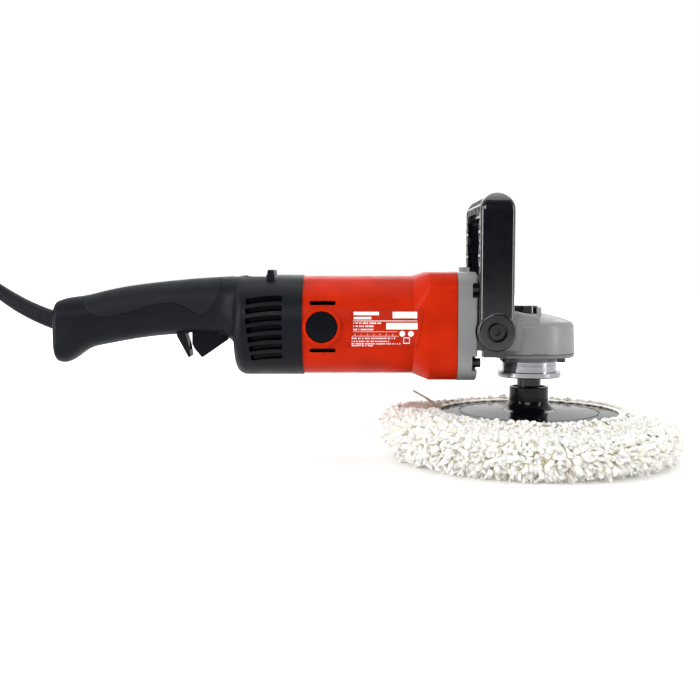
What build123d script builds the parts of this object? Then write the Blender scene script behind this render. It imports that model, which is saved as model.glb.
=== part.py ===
from build123d import *
import math
import os

# Rotary polisher, in millimetres.
# Frame: the origin is on the spindle axis at the bonnet's underside, +X runs from the rear
# handle to the gear head, +Z is up, and the motor axis lies in the plane Y = 0.

# ---- driving dimensions -------------------------------------------------------------------
MOTOR_Z = 118.0            # height of the motor axis
WALL = 3.0                 # moulded shell thickness

DRUM_REAR = -259.5         # rear face of the vented drum
CASE_REAR = -200.0         # drum meets the red field case
FLARE_START = -105.0       # round case starts to open into a square
FLARE_END = -92.0
FLANGE_REAR = -68.0        # field case meets the gear housing
FLANGE_FRONT = -51.4

DRUM_R = 44.0
CASE_R = 43.0
BRUSH_X = -183.5           # brush axis along the motor
SCREW_Y = 34.0             # flange screws, measured from the motor axis
SCREW_Z = 31.0

HEAD_R = 39.5              # gear head about the spindle
HEAD_BOTTOM = 94.0
COVER_BOTTOM = 90.0
COLLAR_TOP = 86.0
COLLAR_BOTTOM = 72.0

LOOP_X = -36.4             # side handle: axis of its two bolts
LOOP_Z = 114.3
LOOP_TOP = 231.0
LOOP_HALF = 55.0           # outer half width across the tool
LOOP_ARM = 17.0            # arm thickness across the tool
LOOP_WIDTH = 29.3          # arm width along the tool

BONNET_R = 133.0
BONNET_FLAT_R = 112.0
PLATE_R = 88.0
PLATE_BOTTOM = 28.0

DIAL_X = -251.5            # speed thumbwheel
DIAL_Z = 150.6
DIAL_R = 11.0
TRIGGER_PIVOT = (-271.0, 113.0)
LOCK_X = -6.0              # spindle lock button and pin
LOCK_Y = -9.0

CORD_D = 8.0
BOOT_ANGLE = 18.0          # the strain relief leaves the handle at this rise
BOOT_BEND_R = 176.0
BOOT_LENGTH = 62.0

GEAR_TEETH = 40
PINION_TEETH = 10
PITCH_R = 28.0             # pitch radius of the bevel gear at its rim
PINION_PITCH_R = PITCH_R * PINION_TEETH / GEAR_TEETH
TOOTH_FACE = 8.0

MIN_END = (Align.CENTER, Align.CENTER, Align.MIN)


# ---- helpers ------------------------------------------------------------------------------
def rod(start, direction, radius, length, mode=Mode.ADD):
    """A cylinder from a start point along a direction, in the part being built."""
    with Locations(Plane(origin=start, z_dir=direction)):
        Cylinder(radius, length, align=MIN_END, mode=mode)


def rod_x(x_start, x_end, radius, mode=Mode.ADD, y=0.0, z=MOTOR_Z):
    rod((x_start, y, z), (1, 0, 0), radius, x_end - x_start, mode)


def rod_y(y_start, y_end, radius, x, z, mode=Mode.ADD):
    rod((x, y_start, z), (0, 1, 0), radius, y_end - y_start, mode)


def rod_z(z_start, z_end, radius, x=0.0, y=0.0, mode=Mode.ADD):
    rod((x, y, z_start), (0, 0, 1), radius, z_end - z_start, mode)


def block(low, high, mode=Mode.ADD):
    """A box between two corners."""
    size = [b - a for a, b in zip(low, high)]
    with Locations(tuple(low)):
        Box(*size, align=(Align.MIN, Align.MIN, Align.MIN), mode=mode)


def keep_side(side):
    """Keep the half of the part being built that lies on one side of the motor's plane."""
    near, far = sorted((0, side * 80))
    block((-450, near, 40), (-180, far, 200), Mode.INTERSECT)


def ring_x(x_start, x_end, outer, inner):
    rod_x(x_start, x_end, outer)
    rod_x(x_start, x_end, inner, Mode.SUBTRACT)


def ring_z(z_start, z_end, outer, inner):
    rod_z(z_start, z_end, outer)
    rod_z(z_start, z_end, inner, mode=Mode.SUBTRACT)


def coil_spring(base, direction, radius, wire, height, turns):
    """A round-wire compression spring standing on its base point."""
    with BuildPart(mode=Mode.PRIVATE) as spring:
        with BuildLine():
            path = Helix(height / turns, height, radius, center=base, direction=direction)
        with BuildSketch(Plane(origin=path @ 0, z_dir=path % 0)):
            Circle(wire / 2)
        sweep(path=path)
    return spring.part


# ---- rear handle and vented drum ----------------------------------------------------------
# Cross-sections of the handle: X, underside Z, top Z, width, corner radius.
HANDLE_SECTIONS = [
    (-419.0, 87.0, 138.0, 40.0, 16.0),
    (-411.0, 84.8, 141.0, 42.0, 18.0),
    (-402.0, 88.5, 142.8, 43.0, 19.0),
    (-391.0, 96.2, 144.2, 43.0, 19.5),
    (-376.0, 100.6, 147.8, 42.0, 19.5),
    (-350.0, 105.4, 152.8, 42.0, 19.5),
    (-322.0, 108.8, 156.3, 42.5, 19.8),
    (-295.0, 110.2, 158.8, 44.0, 20.5),
    (-277.0, 109.4, 160.0, 46.0, 21.5),
    (-267.0, 106.6, 160.6, 51.0, 23.5),
    (-260.0, 99.0, 161.0, 60.0, 28.0),
    (-252.0, 90.0, 161.5, 72.0, 34.0),
]


def handle_loft(inset):
    """The handle's form, drawn in by an inset all round."""
    with BuildPart() as form:
        for x, low, high, width, corner in HANDLE_SECTIONS:
            with BuildSketch(Plane.YZ.offset(x)):
                with Locations((0, (low + high) / 2)):
                    RectangleRounded(width - 2 * inset, high - low - 2 * inset, corner - inset)
        loft()
    return form.part


def drum_form(inset):
    """The round rear housing with its rounded rear edge."""
    radius = DRUM_R - inset
    with BuildPart() as form:
        rod_x(DRUM_REAR + inset, CASE_REAR, radius)
        fillet(form.faces().sort_by(Axis.X)[0].edges(), radius=10.0)
    return form.part


with BuildPart() as rear_form:
    add(handle_loft(0.0))
    fillet(rear_form.faces().sort_by(Axis.X)[0].edges(), radius=5.0)
    add(drum_form(0.0))

# Guard rib in front of the thumbwheel.
with BuildPart() as dial_guard:
    with BuildSketch(Plane.XZ):
        Polygon((-233.0, 150), (-224.0, 150), (-225.6, 166.4), (-230.6, 166.4), align=None)
    extrude(amount=20.0, both=True)
    fillet(dial_guard.edges().group_by(Axis.Z)[-1], radius=1.2)

# Hook that shields the trigger, hanging from the handle.
with BuildPart() as trigger_hook:
    with BuildSketch(Plane.XZ):
        with BuildLine():
            Polyline((-313, 115), (-311.6, 108), (-306, 97.5), (-302.3, 90.6))
            ThreePointArc((-302.3, 90.6), (-300.9, 89.6), (-299.9, 91.0))
            Polyline((-299.9, 91.0), (-300.6, 96), (-302.0, 103), (-304.2, 110), (-304.2, 115))
            Line((-304.2, 115), (-313, 115))
        make_face()
    extrude(amount=9.0, both=True)

# Region of the handle that the soft grip covers, bounded below by a wavy seam.
SEAM = [
    (-392.5, 140.0), (-390.5, 134), (-384, 128), (-376.7, 125.4), (-362, 127.2), (-347.9, 130.4),
    (-333.5, 135), (-319, 137.2), (-309, 136.4), (-297.6, 131), (-288.5, 127.0), (-281.7, 131.6),
    (-276, 140.3), (-272.5, 149), (-271.4, 158),
]


def grip_zone(margin):
    """The soft grip's outline, extruded across the handle."""
    with BuildPart() as zone:
        with BuildSketch(Plane.XZ):
            rear_x = SEAM[0][0] + margin
            front_x = SEAM[-1][0] - margin
            low_line = [(min(max(x, rear_x), front_x), z + margin) for x, z in SEAM]
            with BuildLine():
                wave = Spline(*low_line)
                Polyline(wave @ 1, (front_x, 175), (rear_x, 175), wave @ 0)
            make_face()
        extrude(amount=40.0, both=True)
    return zone.part


GRIP_DEPTH = 1.8
HANDLE_SCREWS = ((-398, 130), (-356, 113.5), (-240, 84.5))
BOOT_START = (-419.0, 121.2)   # where the strain relief leaves the rear face: X, Z

with BuildPart() as shell:
    add(rear_form.part)
    add(handle_loft(WALL), mode=Mode.SUBTRACT)
    add(drum_form(WALL), mode=Mode.SUBTRACT)
    # rear wall behind the hollow, and the hole for the strain relief
    with BuildPart(mode=Mode.PRIVATE) as rear_wall:
        add(rear_form.part)
        block((-430, -60, 60), (-415.5, 60, 170), Mode.INTERSECT)
    add(rear_wall.part)
    add(dial_guard.part)
    with BuildPart(mode=Mode.PRIVATE) as drum_hollow:
        add(drum_form(WALL))
    add(drum_hollow.part, mode=Mode.SUBTRACT)
    add(trigger_hook.part)
    # bosses for the handle screws, inside the outer form
    with BuildPart(mode=Mode.PRIVATE) as bosses:
        for boss_x, boss_z in HANDLE_SCREWS[:2]:
            rod_y(-19.5, 19.5, 4.2, boss_x, boss_z)
        rod_y(-26, 26, 4.2, *HANDLE_SCREWS[2])
        add(rear_form.part, mode=Mode.INTERSECT)
    add(bosses.part)
    rod((-425, 0, BOOT_START[1]), (1, 0, 0), 8.7, 16, Mode.SUBTRACT)
    # trigger slot in the underside, and the bosses that hold the trigger's pin
    rod_y(-15, 15, 3.6, *TRIGGER_PIVOT)
    block((-302.5, -8.4, 96), (-263.5, 8.4, 119), Mode.SUBTRACT)
    rod_y(-12.2, 12.2, 1.53, *TRIGGER_PIVOT, mode=Mode.SUBTRACT)
    # flat recess and window for the thumbwheel
    block((-262.5, -12, 160.4), (-233.0, 12, 175), Mode.SUBTRACT)
    block((DIAL_X - 9.5, -4.4, 150), (DIAL_X + 9.5, 4.4, 175), Mode.SUBTRACT)
    # hole for the lock-on button
    rod_y(10, 40, 5.4, -322, 124, Mode.SUBTRACT)


def grip_layer(margin):
    """The outermost layer of the handle inside the soft grip's outline."""
    with BuildPart() as layer:
        add(handle_loft(0.0))
        add(grip_zone(margin), mode=Mode.INTERSECT)
        add(handle_loft(GRIP_DEPTH), mode=Mode.SUBTRACT)
    return layer.part


with BuildPart() as grip:
    add(grip_layer(0.45))

with BuildPart() as grip_bed:
    add(grip_layer(0.0))

print("soft grip volume", round(grip.part.volume), "of a bed of", round(grip_bed.part.volume))

# Vent slots: seven shallow arcs a side, the lower ones shorter, with squared ends.
VENT_COUNT = 7
VENT_PITCH = 8.15
VENT_LOW_Z = 91.4
VENT_FRONT_X = -219.5
VENT_BEND_R = 137.0
VENT_HALF = 2.5
with BuildPart() as vents:
    with BuildSketch(Plane.XZ):
        for row in range(VENT_COUNT):
            right_z = VENT_LOW_Z + 1.8 + row * VENT_PITCH
            reach = min(26.5, 22.5 + row)
            sweep_angle = math.degrees(reach / VENT_BEND_R)
            with BuildLine():
                centre = (VENT_FRONT_X, right_z - VENT_BEND_R)
                upper = CenterArc(centre, VENT_BEND_R + VENT_HALF, 89, sweep_angle + 2)
                lower = CenterArc(centre, VENT_BEND_R - VENT_HALF, 89, sweep_angle + 2)
                Line(upper @ 0, lower @ 0)
                Line(upper @ 1, lower @ 1)
            make_face()
    extrude(amount=60.0, both=True)
    fillet(vents.edges().filter_by(Axis.Y), radius=0.9)

with BuildPart() as housing:
    add(shell.part)
    add(grip_bed.part, mode=Mode.SUBTRACT)
    add(vents.part, mode=Mode.SUBTRACT)

with BuildPart() as handle_shell_right:
    add(housing.part)
    keep_side(-1)
    for screw_x, screw_z in HANDLE_SCREWS:
        rod_y(-14, 1, 1.5, screw_x, screw_z, Mode.SUBTRACT)

with BuildPart() as handle_shell_left:
    add(housing.part)
    keep_side(1)
    for screw_x, screw_z in HANDLE_SCREWS:
        rod_y(-1, 60, 1.9, screw_x, screw_z, Mode.SUBTRACT)
        rod_y(16, 60, 3.6, screw_x, screw_z, Mode.SUBTRACT)

with BuildPart() as handle_screws:
    for screw_x, screw_z in HANDLE_SCREWS:
        rod_y(-13, 16, 1.5, screw_x, screw_z)
        rod_y(16, 18.2, 3.3, screw_x, screw_z)
    for screw_x, screw_z in HANDLE_SCREWS:
        for turn in (0, 90):
            with Locations(Location((screw_x, 17.9, screw_z), (0, turn, 0))):
                Box(4.4, 1.4, 0.9, mode=Mode.SUBTRACT)

with BuildPart() as soft_grip_right:
    add(grip.part)
    keep_side(-1)

with BuildPart() as soft_grip_left:
    add(grip.part)
    keep_side(1)

# ---- trigger and switch -------------------------------------------------------------------
with BuildPart() as trigger:
    with BuildSketch(Plane.XZ):
        Polygon(
            (-298.6, 116), (-298.6, 101), (-296.6, 97.0), (-290.0, 89.0), (-266.5, 105.2),
            (-266.5, 113), (-270, 117), (-280, 118.5), align=None,
        )
    extrude(amount=7.7, both=True)
    fillet(trigger.edges().filter_by(Axis.Y).group_by(Axis.Z)[0], radius=1.6)
    outer_edges = trigger.faces().filter_by(Axis.Y).edges()
    chamfer(outer_edges, length=0.7)
    rod_y(-20, 20, 1.56, TRIGGER_PIVOT[0], TRIGGER_PIVOT[1], Mode.SUBTRACT)

with BuildPart() as trigger_pin:
    rod_y(-12, 12, 1.5, TRIGGER_PIVOT[0], TRIGGER_PIVOT[1])

with BuildPart() as switch_body:
    block((-340, -9, 119), (-303, 9, 147))
    fillet(switch_body.edges().filter_by(Axis.Y), radius=1.5)
    rod_x(-303, -299.5, 2.5, z=128)

TRIGGER_SPRING_X = -289.0
with BuildPart() as trigger_spring:
    add(coil_spring((TRIGGER_SPRING_X, 0, 119.5), (0, 0, 1), 3.2, 0.8, 10.0, 5))

with BuildPart() as lock_on_button:
    rod_y(12.5, 23.6, 5.2, -322, 124)
    fillet(lock_on_button.faces().sort_by(Axis.Y)[-1].edges(), radius=1.0)

with BuildPart() as speed_dial:
    rod_y(-3.5, 3.5, DIAL_R, DIAL_X, DIAL_Z)
    rod_y(-8.5, 8.5, 2.0, DIAL_X, DIAL_Z)
    dial_axis = Plane(origin=(DIAL_X, 0, DIAL_Z), z_dir=(0, 1, 0))
    with Locations(dial_axis):
        with PolarLocations(DIAL_R, 24):
            Cylinder(0.75, 9.0, mode=Mode.SUBTRACT)

with BuildPart() as speed_controller:
    block((DIAL_X - 15, -15, 135.0), (DIAL_X + 15, 15, 136.6))
    for side in (-1, 1):
        low_y = min(side * 5.5, side * 7.5)
        block((DIAL_X - 3.5, low_y, 136.6), (DIAL_X + 3.5, low_y + 2, 153.5))
    rod_y(-10, 10, 2.06, DIAL_X, DIAL_Z, Mode.SUBTRACT)
    block((DIAL_X + 5, 4, 128.0), (DIAL_X + 13, 13, 135.0))
    block((DIAL_X - 13, -13, 129.5), (DIAL_X - 2, -3, 135.0))

with BuildPart() as suppressor_capacitor:
    block((-384, -7, 116), (-364, 7, 128))
    fillet(suppressor_capacitor.edges(), radius=1.2)

# ---- cord entry ---------------------------------------------------------------------------
def boot_point(length):
    """Point of the strain relief's centre line, and its rise in degrees, at a length."""
    start = math.radians(BOOT_ANGLE)
    rise = start + length / BOOT_BEND_R
    x = BOOT_START[0] - BOOT_BEND_R * (math.sin(rise) - math.sin(start))
    z = BOOT_START[1] + BOOT_BEND_R * (math.cos(start) - math.cos(rise))
    return x, z, math.degrees(rise)


with BuildPart() as strain_relief:
    for share, radius in ((0.0, 8.2), (0.3, 7.6), (0.62, 6.9), (1.0, 5.6)):
        boot_x, boot_z, rise = boot_point(share * BOOT_LENGTH)
        heading = (-math.cos(math.radians(rise)), 0, math.sin(math.radians(rise)))
        with BuildSketch(Plane(origin=(boot_x, 0, boot_z), x_dir=(0, 1, 0), z_dir=heading)):
            Circle(radius)
    loft()
    rod_x(-419.6, -411.0, 8.1, z=BOOT_START[1])
    rod_x(-415.0, -411.0, 10.5, z=BOOT_START[1])

with BuildPart() as cord_clamp:
    block((-409, -13, 108.2), (-400, 13, 115.5))
    with Locations((-404.5, 0, BOOT_START[1])):
        Cylinder(CORD_D / 2 + 2.6, 12, rotation=(0, 90, 0), mode=Mode.SUBTRACT)

with BuildPart() as clamp_screws:
    for side in (-1, 1):
        rod_z(115.5, 117.7, 2.8, -404.5, side * 9.5)

# ---- red field case -----------------------------------------------------------------------
SQUARE_HALF_Y = 44.5
SQUARE_HALF_Z = 46.3
SQUARE_CORNER = 17.0


def case_form(grow, corner=SQUARE_CORNER):
    """The field case's outer form: a drum that opens into a rounded square."""
    radius = CASE_R + grow
    with BuildPart() as form:
        with BuildSketch(Plane.YZ.offset(CASE_REAR)):
            with Locations((0, MOTOR_Z)):
                Circle(radius)
        extrude(amount=FLARE_START - CASE_REAR)
        with BuildSketch(Plane.YZ.offset(FLARE_START)):
            with Locations((0, MOTOR_Z)):
                RectangleRounded(2 * radius, 2 * radius, radius - 0.1)
        with BuildSketch(Plane.YZ.offset(FLARE_END)):
            with Locations((0, MOTOR_Z)):
                RectangleRounded(
                    2 * (SQUARE_HALF_Y + grow), 2 * (SQUARE_HALF_Z + grow), corner + grow)
        loft()
        with BuildSketch(Plane.YZ.offset(FLARE_END)):
            with Locations((0, MOTOR_Z)):
                RectangleRounded(
                    2 * (SQUARE_HALF_Y + grow), 2 * (SQUARE_HALF_Z + grow), corner + grow)
        extrude(amount=FLANGE_REAR - FLARE_END)
    return form.part


CAP_R = 13.2
BOSS_R = 16.4
SLOT_OFFSET = 20.2
with BuildPart() as motor_housing:
    add(case_form(0.0))
    fillet(motor_housing.faces().sort_by(Axis.X)[-1].edges(), radius=0.8)
    for side in (-1, 1):
        rod((BRUSH_X, 30 * side, MOTOR_Z), (0, side, 0), BOSS_R, 14.4)
    rod_x(-197.0, FLANGE_REAR + 1, 40.0, Mode.SUBTRACT)
    for side in (-1, 1):
        rod((BRUSH_X, 20 * side, MOTOR_Z), (0, side, 0), CAP_R + 0.3, 40, Mode.SUBTRACT)
        for level in (-SLOT_OFFSET, SLOT_OFFSET):
            with BuildSketch(Plane(origin=(-182.8, 0, MOTOR_Z + level), x_dir=(1, 0, 0),
                                   z_dir=(0, side, 0))) as slot:
                SlotOverall(22.5, 3.6)
            extrude(slot.sketch, amount=60, mode=Mode.SUBTRACT)
    # openings in the rear wall and the hub for the rear bearing
    with Locations(Plane.YZ.offset(CASE_REAR - 1)):
        with Locations((0, MOTOR_Z)):
            with PolarLocations(27, 4, start_angle=45):
                Cylinder(9.5, 5, align=MIN_END, mode=Mode.SUBTRACT)
    rod_x(-208.0, -197.0, 14.0)
    rod_x(-209.0, -196.0, 11.0, Mode.SUBTRACT)

# Rating label: a thin panel on the near flank, in the shape of a rounded shield.
with BuildPart() as rating_label:
    with BuildSketch(Plane.XZ.offset(30)):
        with BuildLine():
            Line((-155.5, 133.3), (-100.5, 133.3))
            ThreePointArc((-100.5, 133.3), (-98.0, 132.3), (-97.6, 129.8))
            Line((-97.6, 129.8), (-101.6, 104.0))
            ThreePointArc((-101.6, 104.0), (-102.8, 101.6), (-105.4, 100.6))
            Line((-105.4, 100.6), (-159.6, 100.6))
            ThreePointArc((-159.6, 100.6), (-161.8, 101.8), (-161.6, 104.4))
            ThreePointArc((-161.6, 104.4), (-157.2, 116.0), (-159.4, 129.4))
            ThreePointArc((-159.4, 129.4), (-158.4, 132.3), (-155.5, 133.3))
        make_face()
    extrude(amount=20)
    add(case_form(0.35), mode=Mode.INTERSECT)
    add(case_form(0.0), mode=Mode.SUBTRACT)

with BuildPart() as brush_caps:
    for side in (-1, 1):
        rod((BRUSH_X, 38.6 * side, MOTOR_Z), (0, side, 0), CAP_R, 4.8)
    fillet(brush_caps.faces().sort_by(Axis.Y)[0].edges(), radius=0.8)
    fillet(brush_caps.faces().sort_by(Axis.Y)[-1].edges(), radius=0.8)
    block((BRUSH_X - 6, -44, MOTOR_Z - 0.9), (BRUSH_X + 6, -42.2, MOTOR_Z + 0.9), Mode.SUBTRACT)
    block((BRUSH_X - 6, 42.2, MOTOR_Z - 0.9), (BRUSH_X + 6, 44, MOTOR_Z + 0.9), Mode.SUBTRACT)

with BuildPart() as brush_holders:
    for side in (-1, 1):
        near, far = sorted((13.6 * side, 36.0 * side))
        block((BRUSH_X - 5.2, near, MOTOR_Z - 7.6), (BRUSH_X + 5.2, far, MOTOR_Z + 7.6))
        block((BRUSH_X - 3.9, near - 1, MOTOR_Z - 6.3), (BRUSH_X + 3.9, far + 1, MOTOR_Z + 6.3),
              Mode.SUBTRACT)

with BuildPart() as carbon_brushes:
    for side in (-1, 1):
        near, far = sorted((12.15 * side, 26.0 * side))
        block((BRUSH_X - 3.7, near, MOTOR_Z - 6.1), (BRUSH_X + 3.7, far, MOTOR_Z + 6.1))

with BuildPart() as brush_springs:
    for side in (-1, 1):
        add(coil_spring((BRUSH_X, 26.6 * side, MOTOR_Z), (0, side, 0), 2.6, 0.7, 10.6, 5))

# ---- motor internals ----------------------------------------------------------------------
STATOR_REAR = -166.0
STATOR_FRONT = -112.0
with BuildPart() as stator_core:
    with BuildSketch(Plane.YZ.offset(STATOR_REAR)):
        with Locations((0, MOTOR_Z)):
            Circle(39.9)
            Circle(31, mode=Mode.SUBTRACT)
            Rectangle(24, 64)
            Circle(25.5)
            Rectangle(60, 18, mode=Mode.SUBTRACT)
            Circle(20.7, mode=Mode.SUBTRACT)
    extrude(amount=STATOR_FRONT - STATOR_REAR)

with BuildPart() as field_coils:
    for x_start, x_end, full in ((-175.0, -166.3, True), (-111.7, -103.0, True),
                                 (-166.3, -111.7, False)):
        with BuildSketch(Plane.YZ.offset(x_start)) as coil_section:
            with Locations((0, MOTOR_Z)):
                Circle(30.7)
                Circle(25.8, mode=Mode.SUBTRACT)
                Rectangle(48, 80, mode=Mode.INTERSECT)
                if not full:
                    Rectangle(24.6, 80, mode=Mode.SUBTRACT)
        extrude(coil_section.sketch, amount=x_end - x_start)

with BuildPart() as armature_shaft:
    rod_x(-214.0, -198.0, 4.0)
    rod_x(-198.0, -56.5, 5.97)
    rod_x(-56.5, -13.0, 4.0)

with BuildPart() as armature_core:
    rod_x(-165.0, -113.0, 20.1)
    rod_x(-166.0, -112.0, 6.0, Mode.SUBTRACT)
    with Locations(Plane.YZ.offset(-139)):
        with Locations((0, MOTOR_Z)):
            with PolarLocations(16.6, 12):
                Box(7.6, 2.4, 60, mode=Mode.SUBTRACT)

with BuildPart() as armature_windings:
    ring_x(-172.0, -165.1, 18.6, 6.1)
    ring_x(-112.9, -106.0, 18.6, 6.1)
    with Locations(Plane.YZ.offset(-139)):
        with Locations((0, MOTOR_Z)):
            with PolarLocations(16.0, 12):
                Box(5.2, 2.0, 54)

with BuildPart() as commutator:
    ring_x(-193.0, -173.5, 12.0, 6.0)
    rod_x(-174.5, -172.2, 13.4)
    rod_x(-194.0, -172.0, 6.0, Mode.SUBTRACT)
    with Locations(Plane.YZ.offset(-184)):
        with Locations((0, MOTOR_Z)):
            with PolarLocations(12.0, 24):
                Box(1.6, 0.5, 17.6, mode=Mode.SUBTRACT)

with BuildPart() as cooling_fan:
    rod_x(-97.0, -95.4, 33.5)
    rod_x(-97.0, -85.0, 11.0)
    with Locations(Plane.YZ.offset(-90.2)):
        with Locations((0, MOTOR_Z)):
            with PolarLocations(22.0, 14):
                Box(23.5, 1.6, 10.4)
    rod_x(-98.0, -84.0, 6.0, Mode.SUBTRACT)

with BuildPart() as air_baffle:
    ring_x(-100.8, -98.6, 39.9, 27.0)

# Guard inside the vents: a U of two side walls and a cross wall, so that nothing poked through
# a slot reaches the rotor. Air turns over its upper and lower edges.
GUARD_REAR = -256.0
GUARD_FRONT = -211.0
GUARD_HALF = 24.0
with BuildPart() as intake_guard:
    for side in (-1, 1):
        near, far = sorted((side * (GUARD_HALF - 1.6), side * GUARD_HALF))
        block((GUARD_REAR, near, 89.5), (GUARD_FRONT, far, 149.0))
    block((GUARD_FRONT - 1.6, -GUARD_HALF, 89.5), (GUARD_FRONT, GUARD_HALF, 133.0))
    rod_x(GUARD_FRONT - 10, GUARD_FRONT + 10, 7.0, Mode.SUBTRACT)


def bearing(outer, inner, width):
    """A sealed ball bearing on the Z axis, its shields set back between the two races."""
    with BuildPart() as ball_bearing:
        ring_z(0, width, outer, inner)
        for z_start in (0.0, width - 0.6):
            with BuildSketch(Plane.XY.offset(z_start)) as groove:
                Circle(outer - (outer - inner) * 0.22)
                Circle(inner + (outer - inner) * 0.24, mode=Mode.SUBTRACT)
            extrude(groove.sketch, amount=0.6, mode=Mode.SUBTRACT)
    return ball_bearing.part


with BuildPart() as rear_bearing:
    with Locations(Plane.YZ.offset(-206.5)):
        with Locations((0, MOTOR_Z)):
            add(bearing(11.0, 4.03, 7.0))

with BuildPart() as front_bearing:
    with Locations(Plane.YZ.offset(-66.0)):
        with Locations((0, MOTOR_Z)):
            add(bearing(14.0, 6.0, 8.0))

# ---- gear housing -------------------------------------------------------------------------
FLANGE_HALF_Y = 45.0
FLANGE_HALF_Z = 46.6
DOME_TOP = 128.6
NECK_HALF = 36.5
LOCK_SEAT_Z = 128.4        # top of the lock button's seat; only a lip in front stands higher
with BuildPart() as neck:
    # sloping down from the flange to the head
    with BuildSketch(Plane.XZ) as neck_side:
        Polygon((-56, 97.5), (-56, 162), (-47, 161), (-22, 131.8), (2, 126.8), (2, 97.5),
                align=None)
    extrude(neck_side.sketch, amount=NECK_HALF, both=True)
    neck_flanks = neck.faces().filter_by(Axis.Y).edges()
    fillet(neck_flanks.filter_by_position(Axis.Z, 126.0, 165), radius=4.0)

with BuildPart() as gear_housing:
    # flange with bevelled upper edges
    with BuildSketch(Plane.YZ.offset(FLANGE_REAR)):
        with Locations((0, MOTOR_Z)):
            RectangleRounded(2 * FLANGE_HALF_Y, 2 * FLANGE_HALF_Z, SQUARE_CORNER)
    extrude(amount=FLANGE_FRONT - FLANGE_REAR)
    fillet(gear_housing.faces().sort_by(Axis.X)[-1].edges(), radius=1.6)
    # flanks hollowed round the side handle's bosses
    for side in (-1, 1):
        rod((LOOP_X, 37.6 * side, LOOP_Z), (0, side, 0), 17.2, 12, Mode.SUBTRACT)
    add(neck.part)
    # head: a drum with a domed top
    with BuildSketch(Plane.XZ) as head_profile:
        with BuildLine():
            Line((0, HEAD_BOTTOM), (HEAD_R, HEAD_BOTTOM))
            Line((HEAD_R, HEAD_BOTTOM), (HEAD_R - 0.9, 115.6))
            ThreePointArc((HEAD_R - 0.9, 115.6), (HEAD_R - 1.9, 119.2), (34.6, 121.6))
            ThreePointArc((34.6, 121.6), (21.0, 126.1), (7.0, DOME_TOP))
            Line((7.0, DOME_TOP), (0, DOME_TOP))
            Line((0, DOME_TOP), (0, HEAD_BOTTOM))
        make_face()
    revolve(head_profile.sketch, axis=Axis.Z)
    # bolt bosses for the side handle
    for side in (-1, 1):
        rod((LOOP_X, 20 * side, LOOP_Z), (0, side, 0), 14.0, 17.9)
    # raised seat behind and in front of the lock button
    rod_z(118, 133.6, 14.6, LOCK_X, LOCK_Y)
    block((LOCK_X - 16, LOCK_Y - 16, LOCK_SEAT_Z), (LOCK_X + 8.5, LOCK_Y + 16, 134), Mode.SUBTRACT)
    # screw corners cut back, so the flange screws sit in pockets
    for side_y in (-1, 1):
        for side_z in (-1, 1):
            screw_y = side_y * SCREW_Y
            screw_z = MOTOR_Z + side_z * SCREW_Z
            rod((-56.0, screw_y, screw_z), (1, 0, 0), 6.2, 30, Mode.SUBTRACT)
            rod((-70.0, screw_y, screw_z), (1, 0, 0), 2.3, 20, Mode.SUBTRACT)
            near, far = sorted((side_y * SCREW_Y, side_y * 50))
            block((-56.0, near, screw_z - 6.2), (-50, far, screw_z + 6.2), Mode.SUBTRACT)
    # screw lug on top of the flange
    rod_z(160.0, 168.6, 4.6, -58.5, 0)
    rod_z(163.0, 170, 1.8, -58.5, 0, Mode.SUBTRACT)
    # gear chamber, shaft tunnel and bearing seats
    rod_z(HEAD_BOTTOM - 1, 119.0, 33.0, mode=Mode.SUBTRACT)
    rod_x(-69.0, -66.0, 20.0, Mode.SUBTRACT)
    rod_x(-66.0, -58.0, 14.0, Mode.SUBTRACT)
    rod_x(-59.0, 0.0, 9.6, Mode.SUBTRACT)
    rod_z(117.0, 124.6, 6.6, mode=Mode.SUBTRACT)
    # lock button bore and pin bore
    rod_z(126.2, 140, 11.9, LOCK_X, LOCK_Y, mode=Mode.SUBTRACT)
    rod_z(120.4, 140, 4.0, LOCK_X, LOCK_Y, mode=Mode.SUBTRACT)
    rod_z(110.0, 140, 2.27, LOCK_X, LOCK_Y, mode=Mode.SUBTRACT)
    # bolt holes for the side handle and for the cover
    for side in (-1, 1):
        rod((LOOP_X, 22 * side, LOOP_Z), (0, side, 0), 4.0, 20, Mode.SUBTRACT)
    # notch in the seam above the cover
    block((-3.5, -45, HEAD_BOTTOM - 1), (8.5, -37.5, HEAD_BOTTOM + 1.0), Mode.SUBTRACT)

COVER_SCREW_R = 33.6
with BuildPart() as flange_screws:
    for side_y in (-1, 1):
        for side_z in (-1, 1):
            screw_y = side_y * SCREW_Y
            screw_z = MOTOR_Z + side_z * SCREW_Z
            rod((-67.0, screw_y, screw_z), (1, 0, 0), 2.2, 11.0)
            rod((-56.0, screw_y, screw_z), (1, 0, 0), 4.0, 8.0)
            rod((-51.0, screw_y, screw_z), (1, 0, 0), 2.0, 4.0, Mode.SUBTRACT)

with BuildPart() as gear_cover:
    # a shadow gap runs round the seam below the head
    rod_z(COVER_BOTTOM, HEAD_BOTTOM - 0.9, HEAD_R - 0.4)
    fillet(gear_cover.faces().sort_by(Axis.Z)[0].edges(), radius=1.2)
    rod_z(COVER_BOTTOM, HEAD_BOTTOM, HEAD_R - 1.6)
    rod_z(COLLAR_TOP, COVER_BOTTOM, 26.0)
    rod_z(COLLAR_TOP - 1, 95, 14.5, mode=Mode.SUBTRACT)
    rod_z(COLLAR_TOP - 1, 88.2, 17.5, mode=Mode.SUBTRACT)
    with Locations((0, 0, COVER_BOTTOM)):
        with PolarLocations(COVER_SCREW_R, 4, start_angle=45):
            Cylinder(1.9, 20, mode=Mode.SUBTRACT)

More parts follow.
